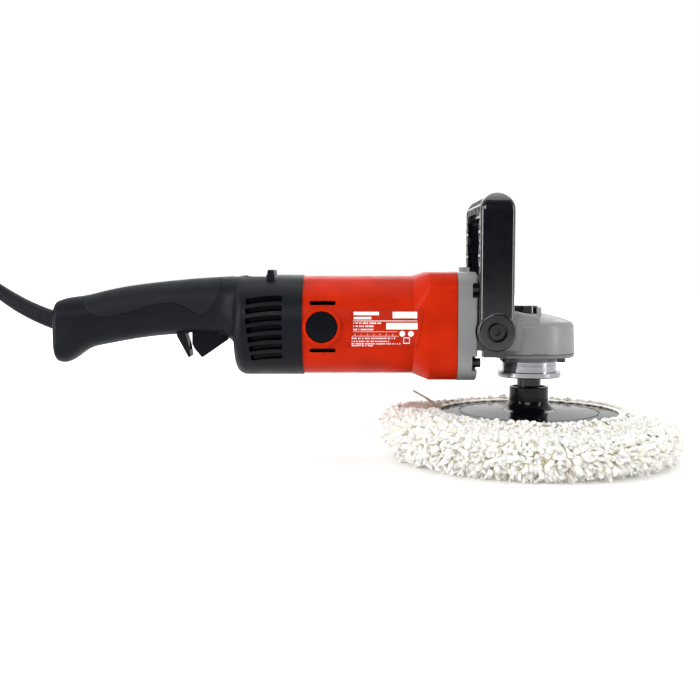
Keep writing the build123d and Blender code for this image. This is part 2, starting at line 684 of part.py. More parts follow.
with BuildPart() as cover_screws:
    with Locations((0, 0, COVER_BOTTOM - 3.4)):
        with PolarLocations(COVER_SCREW_R, 4, start_angle=45):
            Cylinder(3.6, 3.4, align=MIN_END)
            Cylinder(1.85, 7.0, align=MIN_END)
            Cylinder(1.6, 2.0, align=MIN_END, mode=Mode.SUBTRACT)

with BuildPart() as bearing_collar:
    rod_z(76.5, COLLAR_TOP, 24.0)
    rod_z(COLLAR_BOTTOM, 76.5, 28.0)
    fillet(bearing_collar.edges().group_by(Axis.Z)[0], radius=0.9)
    rod_z(76.0, COLLAR_TOP + 1, 17.5, mode=Mode.SUBTRACT)
    rod_z(70.0, 80, 11.3, mode=Mode.SUBTRACT)
    rod_z(82.6, 83.4, 30, mode=Mode.SUBTRACT)
    rod_z(82.6, 83.4, 23.2)
    rod_z(76.0, COLLAR_TOP + 1, 17.5, mode=Mode.SUBTRACT)

# ---- spindle and bevel gears --------------------------------------------------------------
with BuildPart() as spindle:
    rod_z(52.0, 62.5, 6.9)
    rod_z(62.5, 76.0, 10.5)
    rod_z(76.0, 111.0, 7.5)
    rod_z(111.0, 124.0, 4.95)
    block((-12, 8.5, 63.5), (12, 12, 72.0), Mode.SUBTRACT)
    block((-12, -12, 63.5), (12, -8.5, 72.0), Mode.SUBTRACT)
    chamfer(spindle.faces().sort_by(Axis.Z)[-1].edges(), length=0.6)

with BuildPart() as spindle_bush:
    ring_z(118.5, 124.5, 6.6, 5.0)

with BuildPart() as spindle_bearing:
    with Locations((0, 0, 76.0)):
        add(bearing(17.5, 7.53, 11.0))

with BuildPart() as gear_spacer:
    ring_z(87.3, 101.0, 10.0, 7.5)

ADDENDUM = 0.9
DEDENDUM = 1.3
TOOTH_TIP = 0.42           # half width of a tooth at its tip, at the rim
TOOTH_ROOT = 0.95          # half width at its root
CONE_SCALE = (PITCH_R - TOOTH_FACE) / PITCH_R
with BuildPart() as gear_tooth:
    for scale in (1.0, CONE_SCALE):
        tip_z = MOTOR_Z + (-PINION_PITCH_R + ADDENDUM) * scale
        root_z = MOTOR_Z + (-PINION_PITCH_R - DEDENDUM - 0.4) * scale
        with BuildSketch(Plane(origin=(PITCH_R * scale, 0, 0), x_dir=(0, 1, 0),
                               z_dir=(1, 0, 0))):
            Polygon((-TOOTH_ROOT * scale, root_z), (TOOTH_ROOT * scale, root_z),
                    (TOOTH_TIP * scale, tip_z), (-TOOTH_TIP * scale, tip_z), align=None)
    loft(ruled=True)

GEAR_FLOOR = MOTOR_Z - PINION_PITCH_R - DEDENDUM      # tooth root level at the rim
with BuildPart() as bevel_gear:
    with BuildSketch(Plane.XZ) as gear_profile:
        root_in = MOTOR_Z - (PINION_PITCH_R + DEDENDUM) * CONE_SCALE
        Polygon((7.5, 101), (24, 101), (28.0, 104.5), (28.0, GEAR_FLOOR),
                (PITCH_R * CONE_SCALE, root_in), (PITCH_R * CONE_SCALE - 2, 109.0), (7.5, 109.0),
                align=None)
    revolve(gear_profile.sketch, axis=Axis.Z)
    with PolarLocations(0, GEAR_TEETH):
        add(gear_tooth.part)
    with PolarLocations(10.8 + 3.0, 6):
        Cylinder(2.6, 240, mode=Mode.SUBTRACT)

with BuildPart() as pinion_tooth:
    for scale in (1.0, CONE_SCALE):
        with BuildSketch(Plane.YZ.offset(-PITCH_R * scale)):
            tip_r = (PINION_PITCH_R + ADDENDUM) * scale
            root_r = (PINION_PITCH_R - DEDENDUM - 0.5) * scale
            with Locations((0, MOTOR_Z)):
                Polygon((root_r, -TOOTH_ROOT * scale), (tip_r, -TOOTH_TIP * scale),
                        (tip_r, TOOTH_TIP * scale), (root_r, TOOTH_ROOT * scale), align=None)
    loft(ruled=True)

PINION_ROOT_R = PINION_PITCH_R - DEDENDUM
MOTOR_AXIS = Axis((0, 0, MOTOR_Z), (1, 0, 0))
with BuildPart() as bevel_pinion:
    with BuildSketch(Plane.XZ) as pinion_profile:
        Polygon((-33, MOTOR_Z), (-33, MOTOR_Z + 6.4), (-PITCH_R, MOTOR_Z + PINION_ROOT_R),
                (-PITCH_R * CONE_SCALE, MOTOR_Z + PINION_ROOT_R * CONE_SCALE),
                (-PITCH_R * CONE_SCALE, MOTOR_Z), align=None)
    revolve(pinion_profile.sketch, axis=MOTOR_AXIS)
    for tooth in range(PINION_TEETH):
        angle = 90.0 + 360.0 / PINION_TEETH * (tooth + 0.5)
        add(pinion_tooth.part.rotate(MOTOR_AXIS, angle))
    rod_x(-34, -19, 4.0, Mode.SUBTRACT)

with BuildPart() as pinion_nut:
    with BuildSketch(Plane.YZ.offset(-19.8)):
        with Locations((0, MOTOR_Z)):
            RegularPolygon(5.2, 6)
    extrude(amount=4.4)
    rod_x(-21, -14, 4.0, Mode.SUBTRACT)

# ---- spindle lock -------------------------------------------------------------------------
LOCK_TRAVEL = 1.6
with BuildPart() as lock_button:
    rod_z(128.1, 135.4, 11.6, LOCK_X, LOCK_Y)
    fillet(lock_button.faces().sort_by(Axis.Z)[-1].edges(), radius=1.1)
    rod_z(112.6, 129.0, 2.2, LOCK_X, LOCK_Y)

with BuildPart() as lock_spring:
    add(coil_spring((LOCK_X, LOCK_Y, 120.8), (0, 0, 1), 3.1, 0.8, 6.9, 4))

# ---- side handle --------------------------------------------------------------------------
OUTER_FLANGE = 4.6
INNER_FLANGE = 3.6
INNER_WIDTH = 21.0
WEB = 4.6
LOOP_CORNER = 17.0
ARM_INNER = LOOP_HALF - LOOP_ARM
BAR_BOTTOM = LOOP_TOP - 19.6
RIB = 2.6
EDGE_ROUND = 4.0           # outer edges of the loop
CROWN = 3.0                # the square blank stands this much above the round top


def loop_outline(x_low, x_high, inset, bottom, filled):
    """The loop's outline across the tool, between two X planes, drawn in by an inset."""
    half = LOOP_HALF - inset
    top = LOOP_TOP - inset
    with BuildPart() as outline:
        with BuildSketch(Plane.YZ.offset(x_low)) as face:
            with Locations((0, top)):
                RectangleRounded(2 * half, 2 * (top - bottom), LOOP_CORNER - inset)
            if not filled:
                with Locations((0, BAR_BOTTOM + inset)):
                    RectangleRounded(2 * (ARM_INNER + inset), 2 * (BAR_BOTTOM + inset - bottom) + 80,
                                     8.0 + inset, mode=Mode.SUBTRACT)
            with Locations((0, bottom)):
                Rectangle(300, 400, align=(Align.CENTER, Align.MAX), mode=Mode.SUBTRACT)
        extrude(amount=x_high - x_low)
    return outline.part


with BuildPart() as d_handle:
    half_width = LOOP_WIDTH / 2
    with BuildSketch(Plane.YZ.offset(LOOP_X - half_width)):
        with BuildLine():
            Polyline((-LOOP_HALF, LOOP_Z), (-LOOP_HALF, LOOP_TOP + CROWN),
                     (LOOP_HALF, LOOP_TOP + CROWN),
                     (LOOP_HALF, LOOP_Z), (ARM_INNER, LOOP_Z), (ARM_INNER, BAR_BOTTOM),
                     (-ARM_INNER, BAR_BOTTOM), (-ARM_INNER, LOOP_Z), (-LOOP_HALF, LOOP_Z))
        make_face()
    extrude(amount=LOOP_WIDTH)
    long_edges = d_handle.edges().filter_by(Axis.X)
    fillet(long_edges.group_by(Axis.Z)[-1], radius=LOOP_CORNER + CROWN)
    inner_corners = d_handle.edges().filter_by(Axis.X).filter_by_position(
        Axis.Z, BAR_BOTTOM - 0.5, BAR_BOTTOM + 0.5)
    fillet(inner_corners, radius=8.0)
    # the whole loop is trimmed to a round top in side view
    with BuildSketch(Plane.XZ) as side_view:
        with Locations((LOOP_X, LOOP_TOP - half_width)):
            Circle(half_width)
        with Locations((LOOP_X, LOOP_TOP - half_width)):
            Rectangle(LOOP_WIDTH, 200, align=(Align.CENTER, Align.MAX))
    extrude(side_view.sketch, amount=80, both=True, mode=Mode.INTERSECT)
    rim_edges = []
    for edge in d_handle.edges():
        ends = [edge @ place for place in (0, 0.5, 1)]
        heights = [end.Z for end in ends]
        if max(heights) - min(heights) < 0.01:
            continue
        if all(abs(abs(end.Y) - LOOP_HALF) < 0.1 or end.Z > LOOP_TOP - LOOP_CORNER - 0.1
               for end in ends):
            rim_edges.append(edge)
    fillet(rim_edges, radius=EDGE_ROUND)

with BuildPart() as pocket_region:
    # material taken out each side of the web, between the two flanges
    with BuildSketch(Plane.YZ.offset(-80)):
        with BuildLine():
            outer = LOOP_HALF - OUTER_FLANGE
            inner = ARM_INNER + INNER_FLANGE
            top = LOOP_TOP - OUTER_FLANGE
            low = BAR_BOTTOM + INNER_FLANGE
            Polyline((-outer, LOOP_Z + 18), (-outer, top), (outer, top), (outer, LOOP_Z + 18),
                     (inner, LOOP_Z + 18), (inner, low), (-inner, low), (-inner, LOOP_Z + 18),
                     (-outer, LOOP_Z + 18))
        make_face()
    extrude(amount=90)
    fillet(pocket_region.edges().filter_by(Axis.X).group_by(Axis.Z)[-1], radius=12.0)
    block((LOOP_X - WEB / 2, -90, 90), (LOOP_X + WEB / 2, 90, 240), Mode.SUBTRACT)

with BuildPart() as inner_trim:
    # the inner flange is narrower than the outer one
    for side in (-1, 1):
        low_x, high_x = sorted((LOOP_X + side * INNER_WIDTH / 2, LOOP_X + side * 40))
        with BuildSketch(Plane.YZ.offset(low_x)) as trim:
            with BuildLine():
                half = ARM_INNER + INNER_FLANGE
                top = BAR_BOTTOM + INNER_FLANGE
                Polyline((-half, LOOP_Z + 18), (-half, top), (half, top), (half, LOOP_Z + 18),
                         (-half, LOOP_Z + 18))
            make_face()
        extrude(trim.sketch, amount=high_x - low_x)

RIB_HALF = LOOP_WIDTH / 2 - 1.6
with BuildPart() as ribs:
    arm_mid = LOOP_HALF - LOOP_ARM / 2
    cell = 20.0
    for side in (-1, 1):
        for step in range(4):
            level = LOOP_Z + 24 + step * cell
            block((LOOP_X - RIB_HALF, min(side * ARM_INNER, side * (LOOP_HALF - 1)), level - RIB / 2),
                  (LOOP_X + RIB_HALF, max(side * ARM_INNER, side * (LOOP_HALF - 1)), level + RIB / 2))
        for step in range(4):
            middle = LOOP_Z + 34 + step * cell
            for lean in (-1, 1):
                with Locations(Location((LOOP_X, side * (arm_mid), middle), (lean * 33, 0, 0))):
                    Box(2 * RIB_HALF, 1.8, 23)
    for step in range(9):
        across = (step - 4) * 10.0
        block((LOOP_X - RIB_HALF, across - 1.1, BAR_BOTTOM + 1), (LOOP_X + RIB_HALF, across + 1.1, LOOP_TOP - 4))
    block((LOOP_X - RIB_HALF, -48, LOOP_TOP - 11.5), (LOOP_X + RIB_HALF, 48, LOOP_TOP - 9.3))

with BuildPart() as loop_blank:
    add(d_handle.part)

with BuildPart() as d_handle:
    add(loop_blank.part)
    add(pocket_region.part, mode=Mode.SUBTRACT)
    add(inner_trim.part, mode=Mode.SUBTRACT)
    with BuildPart(mode=Mode.PRIVATE) as rib_fill:
        add(ribs.part)
        add(loop_blank.part, mode=Mode.INTERSECT)
        add(inner_trim.part, mode=Mode.SUBTRACT)
    add(rib_fill.part)
    for side in (-1, 1):
        with BuildPart(mode=Mode.PRIVATE) as boss:
            rod((LOOP_X, 38.0 * side, LOOP_Z), (0, side, 0), 16.4, LOOP_ARM + 1.2)
            fillet(boss.faces().sort_by(Axis.Y)[-1 if side > 0 else 0].edges(), radius=2.2)
        add(boss.part)
        near, far = sorted((38.2 * side, 51.5 * side))
        block((LOOP_X - 11.0, near, 92.9), (LOOP_X + 7.4, far, LOOP_Z - 4))
        rod((LOOP_X, 30 * side, LOOP_Z), (0, side, 0), 4.3, 40, Mode.SUBTRACT)
        rod((LOOP_X, 47.5 * side, LOOP_Z), (0, side, 0), 8.6, 20, Mode.SUBTRACT)

with BuildPart() as handle_washers:
    for side in (-1, 1):
        rod((LOOP_X, 47.5 * side, LOOP_Z), (0, side, 0), 8.2, 1.4)
        rod((LOOP_X, 40 * side, LOOP_Z), (0, side, 0), 4.3, 20, Mode.SUBTRACT)

with BuildPart() as handle_bolts:
    for side in (-1, 1):
        rod((LOOP_X, 24.0 * side, LOOP_Z), (0, side, 0), 3.95, 25)
        rod((LOOP_X, 48.9 * side, LOOP_Z), (0, side, 0), 6.4, 5.6)
        with BuildSketch(Plane(origin=(LOOP_X, 55 * side, LOOP_Z), x_dir=(1, 0, 0),
                               z_dir=(0, -side, 0))) as socket:
            RegularPolygon(3.4, 6)
        extrude(socket.sketch, amount=4.2, mode=Mode.SUBTRACT)

# ---- backing plate and bonnet -------------------------------------------------------------
PLATE_TOP = 40.2
NUT_R = 11.0
with BuildPart() as backing_plate:
    with BuildSketch(Plane.XZ) as plate_profile:
        with BuildLine():
            Polyline((NUT_R, 34.0), (NUT_R, 58.0), (14.4, 58.0), (14.4, 63.0), (16.6, 63.0),
                     (17.2, 62.4), (17.2, 50.5))
            ThreePointArc((17.2, 50.5), (20.0, 45.2), (28.0, 42.4))
            Polyline((28.0, 42.4), (60.6, 40.6), (60.9, 39.8), (62.1, 39.8), (62.4, 40.6),
                     (84.0, 39.2))
            ThreePointArc((84.0, 39.2), (87.4, 37.6), (PLATE_R, 34.0))
            Polyline((PLATE_R, 34.0), (PLATE_R, PLATE_BOTTOM), (20.0, PLATE_BOTTOM), (20.0, 34.0),
                     (NUT_R, 34.0))
        make_face()
    revolve(plate_profile.sketch, axis=Axis.Z)

with BuildPart() as plate_nut:
    rod_z(36.0, 61.5, NUT_R)
    rod_z(48.0, 70.0, 6.9, mode=Mode.SUBTRACT)

with BuildPart() as bonnet:
    with BuildSketch(Plane.XZ) as bonnet_profile:
        with BuildLine():
            Line((0, 0), (BONNET_FLAT_R, 0))
            ThreePointArc((BONNET_FLAT_R, 0), (127.5, 6.5), (BONNET_R, 22))
            ThreePointArc((BONNET_R, 22), (129.0, 39.0), (115.0, 47.0))
            ThreePointArc((115.0, 47.0), (98.0, 48.0), (79.0, 43.0))
            Polyline((79.0, 43.0), (79.0, 41.0), (PLATE_R + 0.5, 41.0),
                     (PLATE_R + 0.5, PLATE_BOTTOM - 0.2), (0, PLATE_BOTTOM - 0.2), (0, 0))
        make_face()
    revolve(bonnet_profile.sketch, axis=Axis.Z)

with BuildPart() as bonnet_lace:
    lace_start = (-84.0, 8.0, 47.5)
    with BuildLine() as lace_path:
        Spline(lace_start, (-90, 5, 51.0), (-96, 3, 55.0), (-103, 2, 58.6))
    with BuildSketch(Plane(origin=lace_start, z_dir=lace_path.line % 0)):
        Circle(1.6)
    sweep(path=lace_path.line)

# ---- mains cord ---------------------------------------------------------------------------
exit_x, exit_z, exit_rise = boot_point(BOOT_LENGTH)
# Route from the strain relief, over and down to the coil that lies on the floor.
CORD_ROUTE = [
    (exit_x, 0.0, exit_z),
    (-492.0, 0.0, 166.2),
    (-514.0, -1.0, 175.5),
    (-537.0, -2.5, 176.0),
    (-558.0, -4.5, 166.5),
    (-574.0, -7.0, 148.5),
    (-583.0, -9.5, 125.5),
    (-588.0, -11.5, 99.0),
    (-591.0, -12.6, 68.0),
    (-592.0, -13.0, 37.3),
    (-592.5, -25.1, 16.5),
    (-593.0, -45.9, 4.4),
    (-593.0, -70.0, 4.4),
]
COIL_CENTRE = (-540.0, -70.0)
COIL_MID_R = 45.0
COIL_ROWS = 3
COIL_LAYERS = 2
# Lead from the coil's outer turn to the plug, lying on the floor.
LEAD_ROUTE = [
    (-487.0, -70.0, 12.0),
    (-484.5, -43.0, 9.0),
    (-487.0, -14.0, 5.0),
    (-502.0, 8.0, 4.4),
    (-525.0, 20.0, 6.0),
    (-546.0, 22.0, 8.0),
]


def route_radii(points):
    """The bend radius at each inner point: 0.45 of the shorter run over tan of half the turn."""
    radii = []
    for before, here, after in zip(points, points[1:], points[2:]):
        run_in = Vector(*here) - Vector(*before)
        run_out = Vector(*after) - Vector(*here)
        half_turn = math.radians(run_in.get_angle(run_out)) / 2
        radii.append(0.45 * min(run_in.length, run_out.length) / math.tan(half_turn))
    return radii


def cord_tube(points, name):
    """A round tube along straight runs joined by tangent arcs."""
    radii = route_radii(points)
    print(name, "bend radii", [round(radius, 1) for radius in radii])
    with BuildPart(mode=Mode.PRIVATE) as tube:
        with BuildLine():
            path = FilletPolyline(*points, radius=radii)
        with BuildSketch(Plane(origin=path @ 0, z_dir=path % 0)):
            Circle(CORD_D / 2)
        sweep(path=path)
    section = math.pi * CORD_D ** 2 / 4
    print(name, "length", round(path.length, 1), "volume ratio",
          round(tube.part.volume / (section * path.length), 4))
    return tube.part


with BuildPart() as mains_cord:
    add(cord_tube(CORD_ROUTE, "mains_cord"))

with BuildPart() as plug_lead:
    add(cord_tube(LEAD_ROUTE, "plug_lead"))

with BuildPart() as cord_coil:
    coil_half = COIL_ROWS * CORD_D / 2
    rod_z(0, COIL_LAYERS * CORD_D, COIL_MID_R + coil_half, *COIL_CENTRE)
    rod_z(0, COIL_LAYERS * CORD_D, COIL_MID_R - coil_half, *COIL_CENTRE, mode=Mode.SUBTRACT)

PLUG_X = -546.0
PLUG_Y = 22.0
PLUG_Z = 8.0
with BuildPart() as plug_body:
    for x, width, height in ((PLUG_X, 10.5, 10.5), (PLUG_X - 12, 14, 12.5),
                             (PLUG_X - 24, 28, 14.6), (PLUG_X - 44, 30, 14.6)):
        with BuildSketch(Plane(origin=(x, PLUG_Y, PLUG_Z), x_dir=(0, 1, 0), z_dir=(-1, 0, 0))):
            RectangleRounded(width, height, min(width, height) * 0.42)
    loft()

with BuildPart() as plug_pins:
    for side in (-1, 1):
        rod((PLUG_X - 44, PLUG_Y + side * 9.5, PLUG_Z), (-1, 0, 0), 2.4, 19)

# ---- write the pieces ---------------------------------------------------------------------
PIECES = {
    "handle_shell_right": handle_shell_right,
    "handle_shell_left": handle_shell_left,
    "soft_grip_right": soft_grip_right,
    "soft_grip_left": soft_grip_left,
    "handle_screws": handle_screws,
    "trigger": trigger,
    "trigger_pin": trigger_pin,
    "trigger_spring": trigger_spring,
    "switch_body": switch_body,
    "lock_on_button": lock_on_button,
    "speed_dial": speed_dial,
    "speed_controller": speed_controller,
    "suppressor_capacitor": suppressor_capacitor,
    "strain_relief": strain_relief,
    "cord_clamp": cord_clamp,
    "clamp_screws": clamp_screws,
    "motor_housing": motor_housing,
    "rating_label": rating_label,
    "brush_caps": brush_caps,
    "brush_holders": brush_holders,
    "carbon_brushes": carbon_brushes,
    "brush_springs": brush_springs,
    "stator_core": stator_core,
    "field_coils": field_coils,
    "armature_shaft": armature_shaft,
    "armature_core": armature_core,
    "armature_windings": armature_windings,
    "commutator": commutator,
    "cooling_fan": cooling_fan,
    "air_baffle": air_baffle,
    "intake_guard": intake_guard,
    "rear_bearing": rear_bearing,
    "front_bearing": front_bearing,
    "gear_housing": gear_housing,
    "flange_screws": flange_screws,
    "gear_cover": gear_cover,
    "cover_screws": cover_screws,
    "bearing_collar": bearing_collar,
    "spindle": spindle,
    "spindle_bush": spindle_bush,
    "spindle_bearing": spindle_bearing,
    "gear_spacer": gear_spacer,
    "bevel_gear": bevel_gear,
    "bevel_pinion": bevel_pinion,
    "pinion_nut": pinion_nut,
    "lock_button": lock_button,
    "lock_spring": lock_spring,
    "d_handle": d_handle,
    "handle_washers": handle_washers,
    "handle_bolts": handle_bolts,
    "backing_plate": backing_plate,
    "plate_nut": plate_nut,
    "bonnet": bonnet,
    "bonnet_lace": bonnet_lace,
    "mains_cord": mains_cord,
    "plug_lead": plug_lead,
    "cord_coil": cord_coil,
    "plug_body": plug_body,
    "plug_pins": plug_pins,
}

os.makedirs("parts", exist_ok=True)
for name, piece in PIECES.items():
    piece.part.label = name
    export_step(piece.part, f"parts/{name}.step")
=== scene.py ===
"""Rotary polisher: finishes, cord, lambswool bonnet, rib crests, slot liners, label print,
light and camera.

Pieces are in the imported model's frame: the origin is on the spindle axis at the bonnet's
underside, +X runs from the rear handle to the gear head, and +Z is up. Sizes are written in
millimetres, and MM turns them into metres.
"""

import math
import random

import bpy
import numpy as np
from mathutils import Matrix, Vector
from mathutils.bvhtree import BVHTree


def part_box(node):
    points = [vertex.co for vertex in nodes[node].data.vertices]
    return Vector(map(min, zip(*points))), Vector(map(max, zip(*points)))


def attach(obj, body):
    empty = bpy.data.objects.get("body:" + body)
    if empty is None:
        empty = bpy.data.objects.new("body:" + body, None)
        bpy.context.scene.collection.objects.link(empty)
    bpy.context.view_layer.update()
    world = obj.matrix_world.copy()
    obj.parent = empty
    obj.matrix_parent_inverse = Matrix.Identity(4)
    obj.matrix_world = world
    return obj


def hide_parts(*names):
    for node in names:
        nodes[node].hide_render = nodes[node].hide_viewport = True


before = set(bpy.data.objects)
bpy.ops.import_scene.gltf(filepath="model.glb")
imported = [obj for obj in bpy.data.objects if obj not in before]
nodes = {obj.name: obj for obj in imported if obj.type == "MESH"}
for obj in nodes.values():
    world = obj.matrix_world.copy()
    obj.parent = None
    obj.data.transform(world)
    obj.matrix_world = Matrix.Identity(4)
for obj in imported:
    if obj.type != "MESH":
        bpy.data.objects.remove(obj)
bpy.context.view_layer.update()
scene = bpy.context.scene
MM = 0.001

# ---- camera -------------------------------------------------------------------------------
# 912 mm in front of the plane that holds the motor's and the spindle's axes, looking 4.5
# degrees down. Places of the camera and lights are in metres.
camera_data = bpy.data.cameras.new("camera")
camera_data.lens = 52.9
camera = bpy.data.objects.new("camera", camera_data)
camera.location = (-0.1594, -0.912, 0.167)
camera.rotation_euler = (math.radians(85.5), 0, 0)
scene.collection.objects.link(camera)
scene.camera = camera


# ---- materials ----------------------------------------------------------------------------
class Finish:
    """One Principled material, put together with short calls."""

    def __init__(self, name, colour, roughness, **constants):
        self.material = bpy.data.materials.new(name)
        self.material.use_nodes = True
        self.tree = self.material.node_tree
        self.shader = self.tree.nodes["Principled BSDF"]
        self.set(self.shader, Roughness=roughness, **constants)
        self.shader.inputs["Base Color"].default_value = (*colour, 1)
        self.normal = None

    def set(self, node, **values):
        for name, value in values.items():
            node.inputs[name.replace("_", " ")].default_value = value

    def add(self, kind, **values):
        node = self.tree.nodes.new("ShaderNode" + kind)
        self.set(node, **values)
        return node

    def link(self, source, target):
        self.tree.links.new(source, target)

    def place(self, stretch=(1, 1, 1)):
        """The piece's own coordinates in metres, stretched per axis."""
        mapping = self.add("Mapping", Scale=stretch)
        self.link(self.add("TexCoord").outputs["Object"], mapping.inputs["Vector"])
        return mapping.outputs["Vector"]

    def turned(self, axis, centre):
        """Coordinates that draw rings about an axis ("X" or "Z") through a centre."""
        shifted = self.add("VectorMath")
        shifted.operation = "SUBTRACT"
        shifted.inputs[1].default_value = centre
        self.link(self.add("TexCoord").outputs["Object"], shifted.inputs[0])
        flat = self.add("VectorMath")
        flat.operation = "MULTIPLY"
        flat.inputs[1].default_value = (0, 1, 1) if axis == "X" else (1, 1, 0)
        self.link(shifted.outputs["Vector"], flat.inputs[0])
        radius = self.add("VectorMath")
        radius.operation = "LENGTH"
        self.link(flat.outputs["Vector"], radius.inputs[0])
        parts = self.add("SeparateXYZ")
        self.link(shifted.outputs["Vector"], parts.inputs[0])
        joined = self.add("CombineXYZ")
        self.link(radius.outputs["Value"], joined.inputs[0])
        self.link(parts.outputs[axis], joined.inputs[1])
        mapping = self.add("Mapping", Scale=(1, 1, 0))
        self.link(joined.outputs["Vector"], mapping.inputs["Vector"])
        return mapping.outputs["Vector"]

    def noise(self, vector, scale, detail=3.0, roughness=0.5):
        node = self.add("TexNoise", Scale=scale, Detail=detail, Roughness=roughness)
        self.link(vector, node.inputs["Vector"])
        return node.outputs["Fac"]

    def cells(self, vector, scale):
        node = self.add("TexVoronoi", Scale=scale)
        self.link(vector, node.inputs["Vector"])
        return node.outputs["Distance"]

    def attribute(self, name):
        node = self.add("Attribute")
        node.attribute_name = name
        return node

    def ranged(self, value, low, high, start=0.3, end=0.7):
        node = self.add("MapRange", From_Min=start, From_Max=end, To_Min=low, To_Max=high)
        self.link(value, node.inputs["Value"])
        return node.outputs["Result"]

    def colour(self, value, stops):
        """Base colour from a value: stops are (place, colour)."""
        ramp = self.add("ValToRGB")
        while len(ramp.color_ramp.elements) < len(stops):
            ramp.color_ramp.elements.new(0.5)
        for element, (place, tint) in zip(ramp.color_ramp.elements, stops):
            element.position = place
            element.color = (*tint, 1)
        self.link(value, ramp.inputs["Fac"])
        self.link(ramp.outputs["Color"], self.shader.inputs["Base Color"])

    def roughen(self, value, low, high, start=0.3, end=0.7):
        self.link(self.ranged(value, low, high, start, end), self.shader.inputs["Roughness"])

    def relief(self, value, depth):
        """Bump of a depth in metres, on top of any bump already there."""
        bump = self.add("Bump", Distance=depth)
        self.link(value, bump.inputs["Height"])
        if self.normal:
            self.link(self.normal, bump.inputs["Normal"])
        self.normal = bump.outputs["Normal"]
        self.link(self.normal, self.shader.inputs["Normal"])


def shade(colour, factor):
    """A colour made darker or lighter."""
    return tuple(channel * factor for channel in colour)


def moulded(name, colour, roughness, grain, depth, gloss=0.0, **constants):
    """Moulded plastic or rubber: spark-eroded grain, uneven sheen and a faint cloudiness."""
    finish = Finish(name, colour, roughness, Coat_Weight=gloss, Coat_Roughness=0.12, **constants)
    here = finish.place()
    cloud = finish.noise(here, 38, 4.0)
    finish.colour(cloud, [(0.3, shade(colour, 0.82)), (0.7, shade(colour, 1.16))])
    finish.roughen(finish.noise(here, 95, 5.0), roughness - 0.05, roughness + 0.06)
    finish.relief(finish.noise(here, grain, 2.0), depth)
    finish.relief(finish.noise(here, 60, 2.0), 0.00012)
    return finish


def turned_metal(name, colour, roughness, axis, centre, depth=0.00001):
    """Metal cut on a lathe: fine tool marks round the axis and a softly uneven polish."""
    finish = Finish(name, colour, roughness, Metallic=1.0)
    rings = finish.turned(axis, centre)
    marks = finish.noise(rings, 5200, 3.0, 0.65)
    finish.colour(marks, [(0.3, shade(colour, 0.8)), (0.65, colour)])
    finish.roughen(finish.noise(rings, 1300, 4.0), roughness - 0.07, roughness + 0.09)
    finish.relief(marks, depth)
    return finish


def plain_metal(name, colour, roughness, scratches=700.0):
    """Ground, drawn or plated metal with fine scratches and a cloudy polish."""
    finish = Finish(name, colour, roughness, Metallic=1.0)
    here = finish.place()
    finish.colour(finish.noise(here, 120, 5.0), [(0.3, shade(colour, 0.78)), (0.7, colour)])
    finish.roughen(finish.noise(here, 240, 6.0), roughness - 0.06, roughness + 0.1)
    finish.relief(finish.noise(finish.place((1, 1, 6)), scratches, 4.0), 0.00002)
    return finish


def painted_casting(name, colour, roughness):
    """Cast metal under paint: soft waviness, fine texture and slightly uneven colour."""
    finish = Finish(name, colour, roughness, Coat_Weight=0.12, Coat_Roughness=0.25)
    here = finish.place()
    finish.colour(finish.noise(here, 30, 5.0),
                  [(0.3, shade(colour, 0.9)), (0.7, shade(colour, 1.08))])
    finish.roughen(finish.noise(here, 160, 5.0), roughness - 0.06, roughness + 0.08)
    finish.relief(finish.noise(here, 900, 3.0), 0.00004)
    finish.relief(finish.noise(here, 170, 2.0), 0.00009)
    return finish


def striped(name, dark, light, roughness, axis_scale, metallic, depth):
    """Windings, stacked sheets and bars: thin stripes across one axis."""
    finish = Finish(name, light, roughness, Metallic=metallic)
    stripes = finish.noise(finish.place(axis_scale), 1.0, 1.0)
    finish.colour(stripes, [(0.38, dark), (0.56, light)])
    finish.roughen(finish.noise(finish.place(), 260, 4.0), roughness - 0.08, roughness + 0.1)
    finish.relief(stripes, depth)
    return finish


MOTOR_AXIS = (0.0, 0.0, 0.118)
SPINDLE_AXIS = (0.0, 0.0, 0.0)

charcoal = (0.0036, 0.0045, 0.0074)
grip_black = (0.0048, 0.0060, 0.0096)
gloss_black = (0.0032, 0.0038, 0.0060)
red = (0.440, 0.0160, 0.0014)
casting_grey = (0.205, 0.209, 0.212)

handle_plastic = moulded("handle_plastic", charcoal, 0.42, 1500, 0.00006, Specular_IOR_Level=0.12)
soft_grip = moulded("soft_grip", grip_black, 0.50, 2300, 0.00008, Specular_IOR_Level=0.16)
black_plastic = moulded("black_plastic", gloss_black, 0.13, 900, 0.000004, Specular_IOR_Level=0.07)
handle_gloss = moulded("handle_gloss", (0.0022, 0.0028, 0.0048), 0.14, 900, 0.000004, gloss=0.9,
                       Specular_IOR_Level=0.30)
red_plastic = moulded("red_plastic", red, 0.32, 800, 0.00002, Specular_IOR_Level=0.05)
label_film = moulded("label_film", (0.390, 0.0170, 0.0040), 0.30, 1800, 0.00001,
                     Specular_IOR_Level=0.05)
label_ink = moulded("label_ink", (0.86, 0.86, 0.85), 0.40, 1800, 0.00001)
grey_paint = painted_casting("grey_paint", casting_grey, 0.40)
dark_grey_paint = painted_casting("dark_grey_paint", shade(casting_grey, 0.66), 0.42)
aluminium = turned_metal("aluminium", (0.30, 0.305, 0.32), 0.15, "Z", SPINDLE_AXIS, 0.00002)
dark_steel = turned_metal("dark_steel", (0.040, 0.041, 0.044), 0.20, "Z", SPINDLE_AXIS)
ground_steel = turned_metal("ground_steel", (0.58, 0.58, 0.60), 0.26, "Z", SPINDLE_AXIS)
bearing_steel = turned_metal("bearing_steel", (0.62, 0.62, 0.64), 0.22, "X", MOTOR_AXIS)
black_steel = plain_metal("black_steel", (0.055, 0.056, 0.060), 0.34)
plated_steel = plain_metal("plated_steel", (0.60, 0.60, 0.62), 0.28)
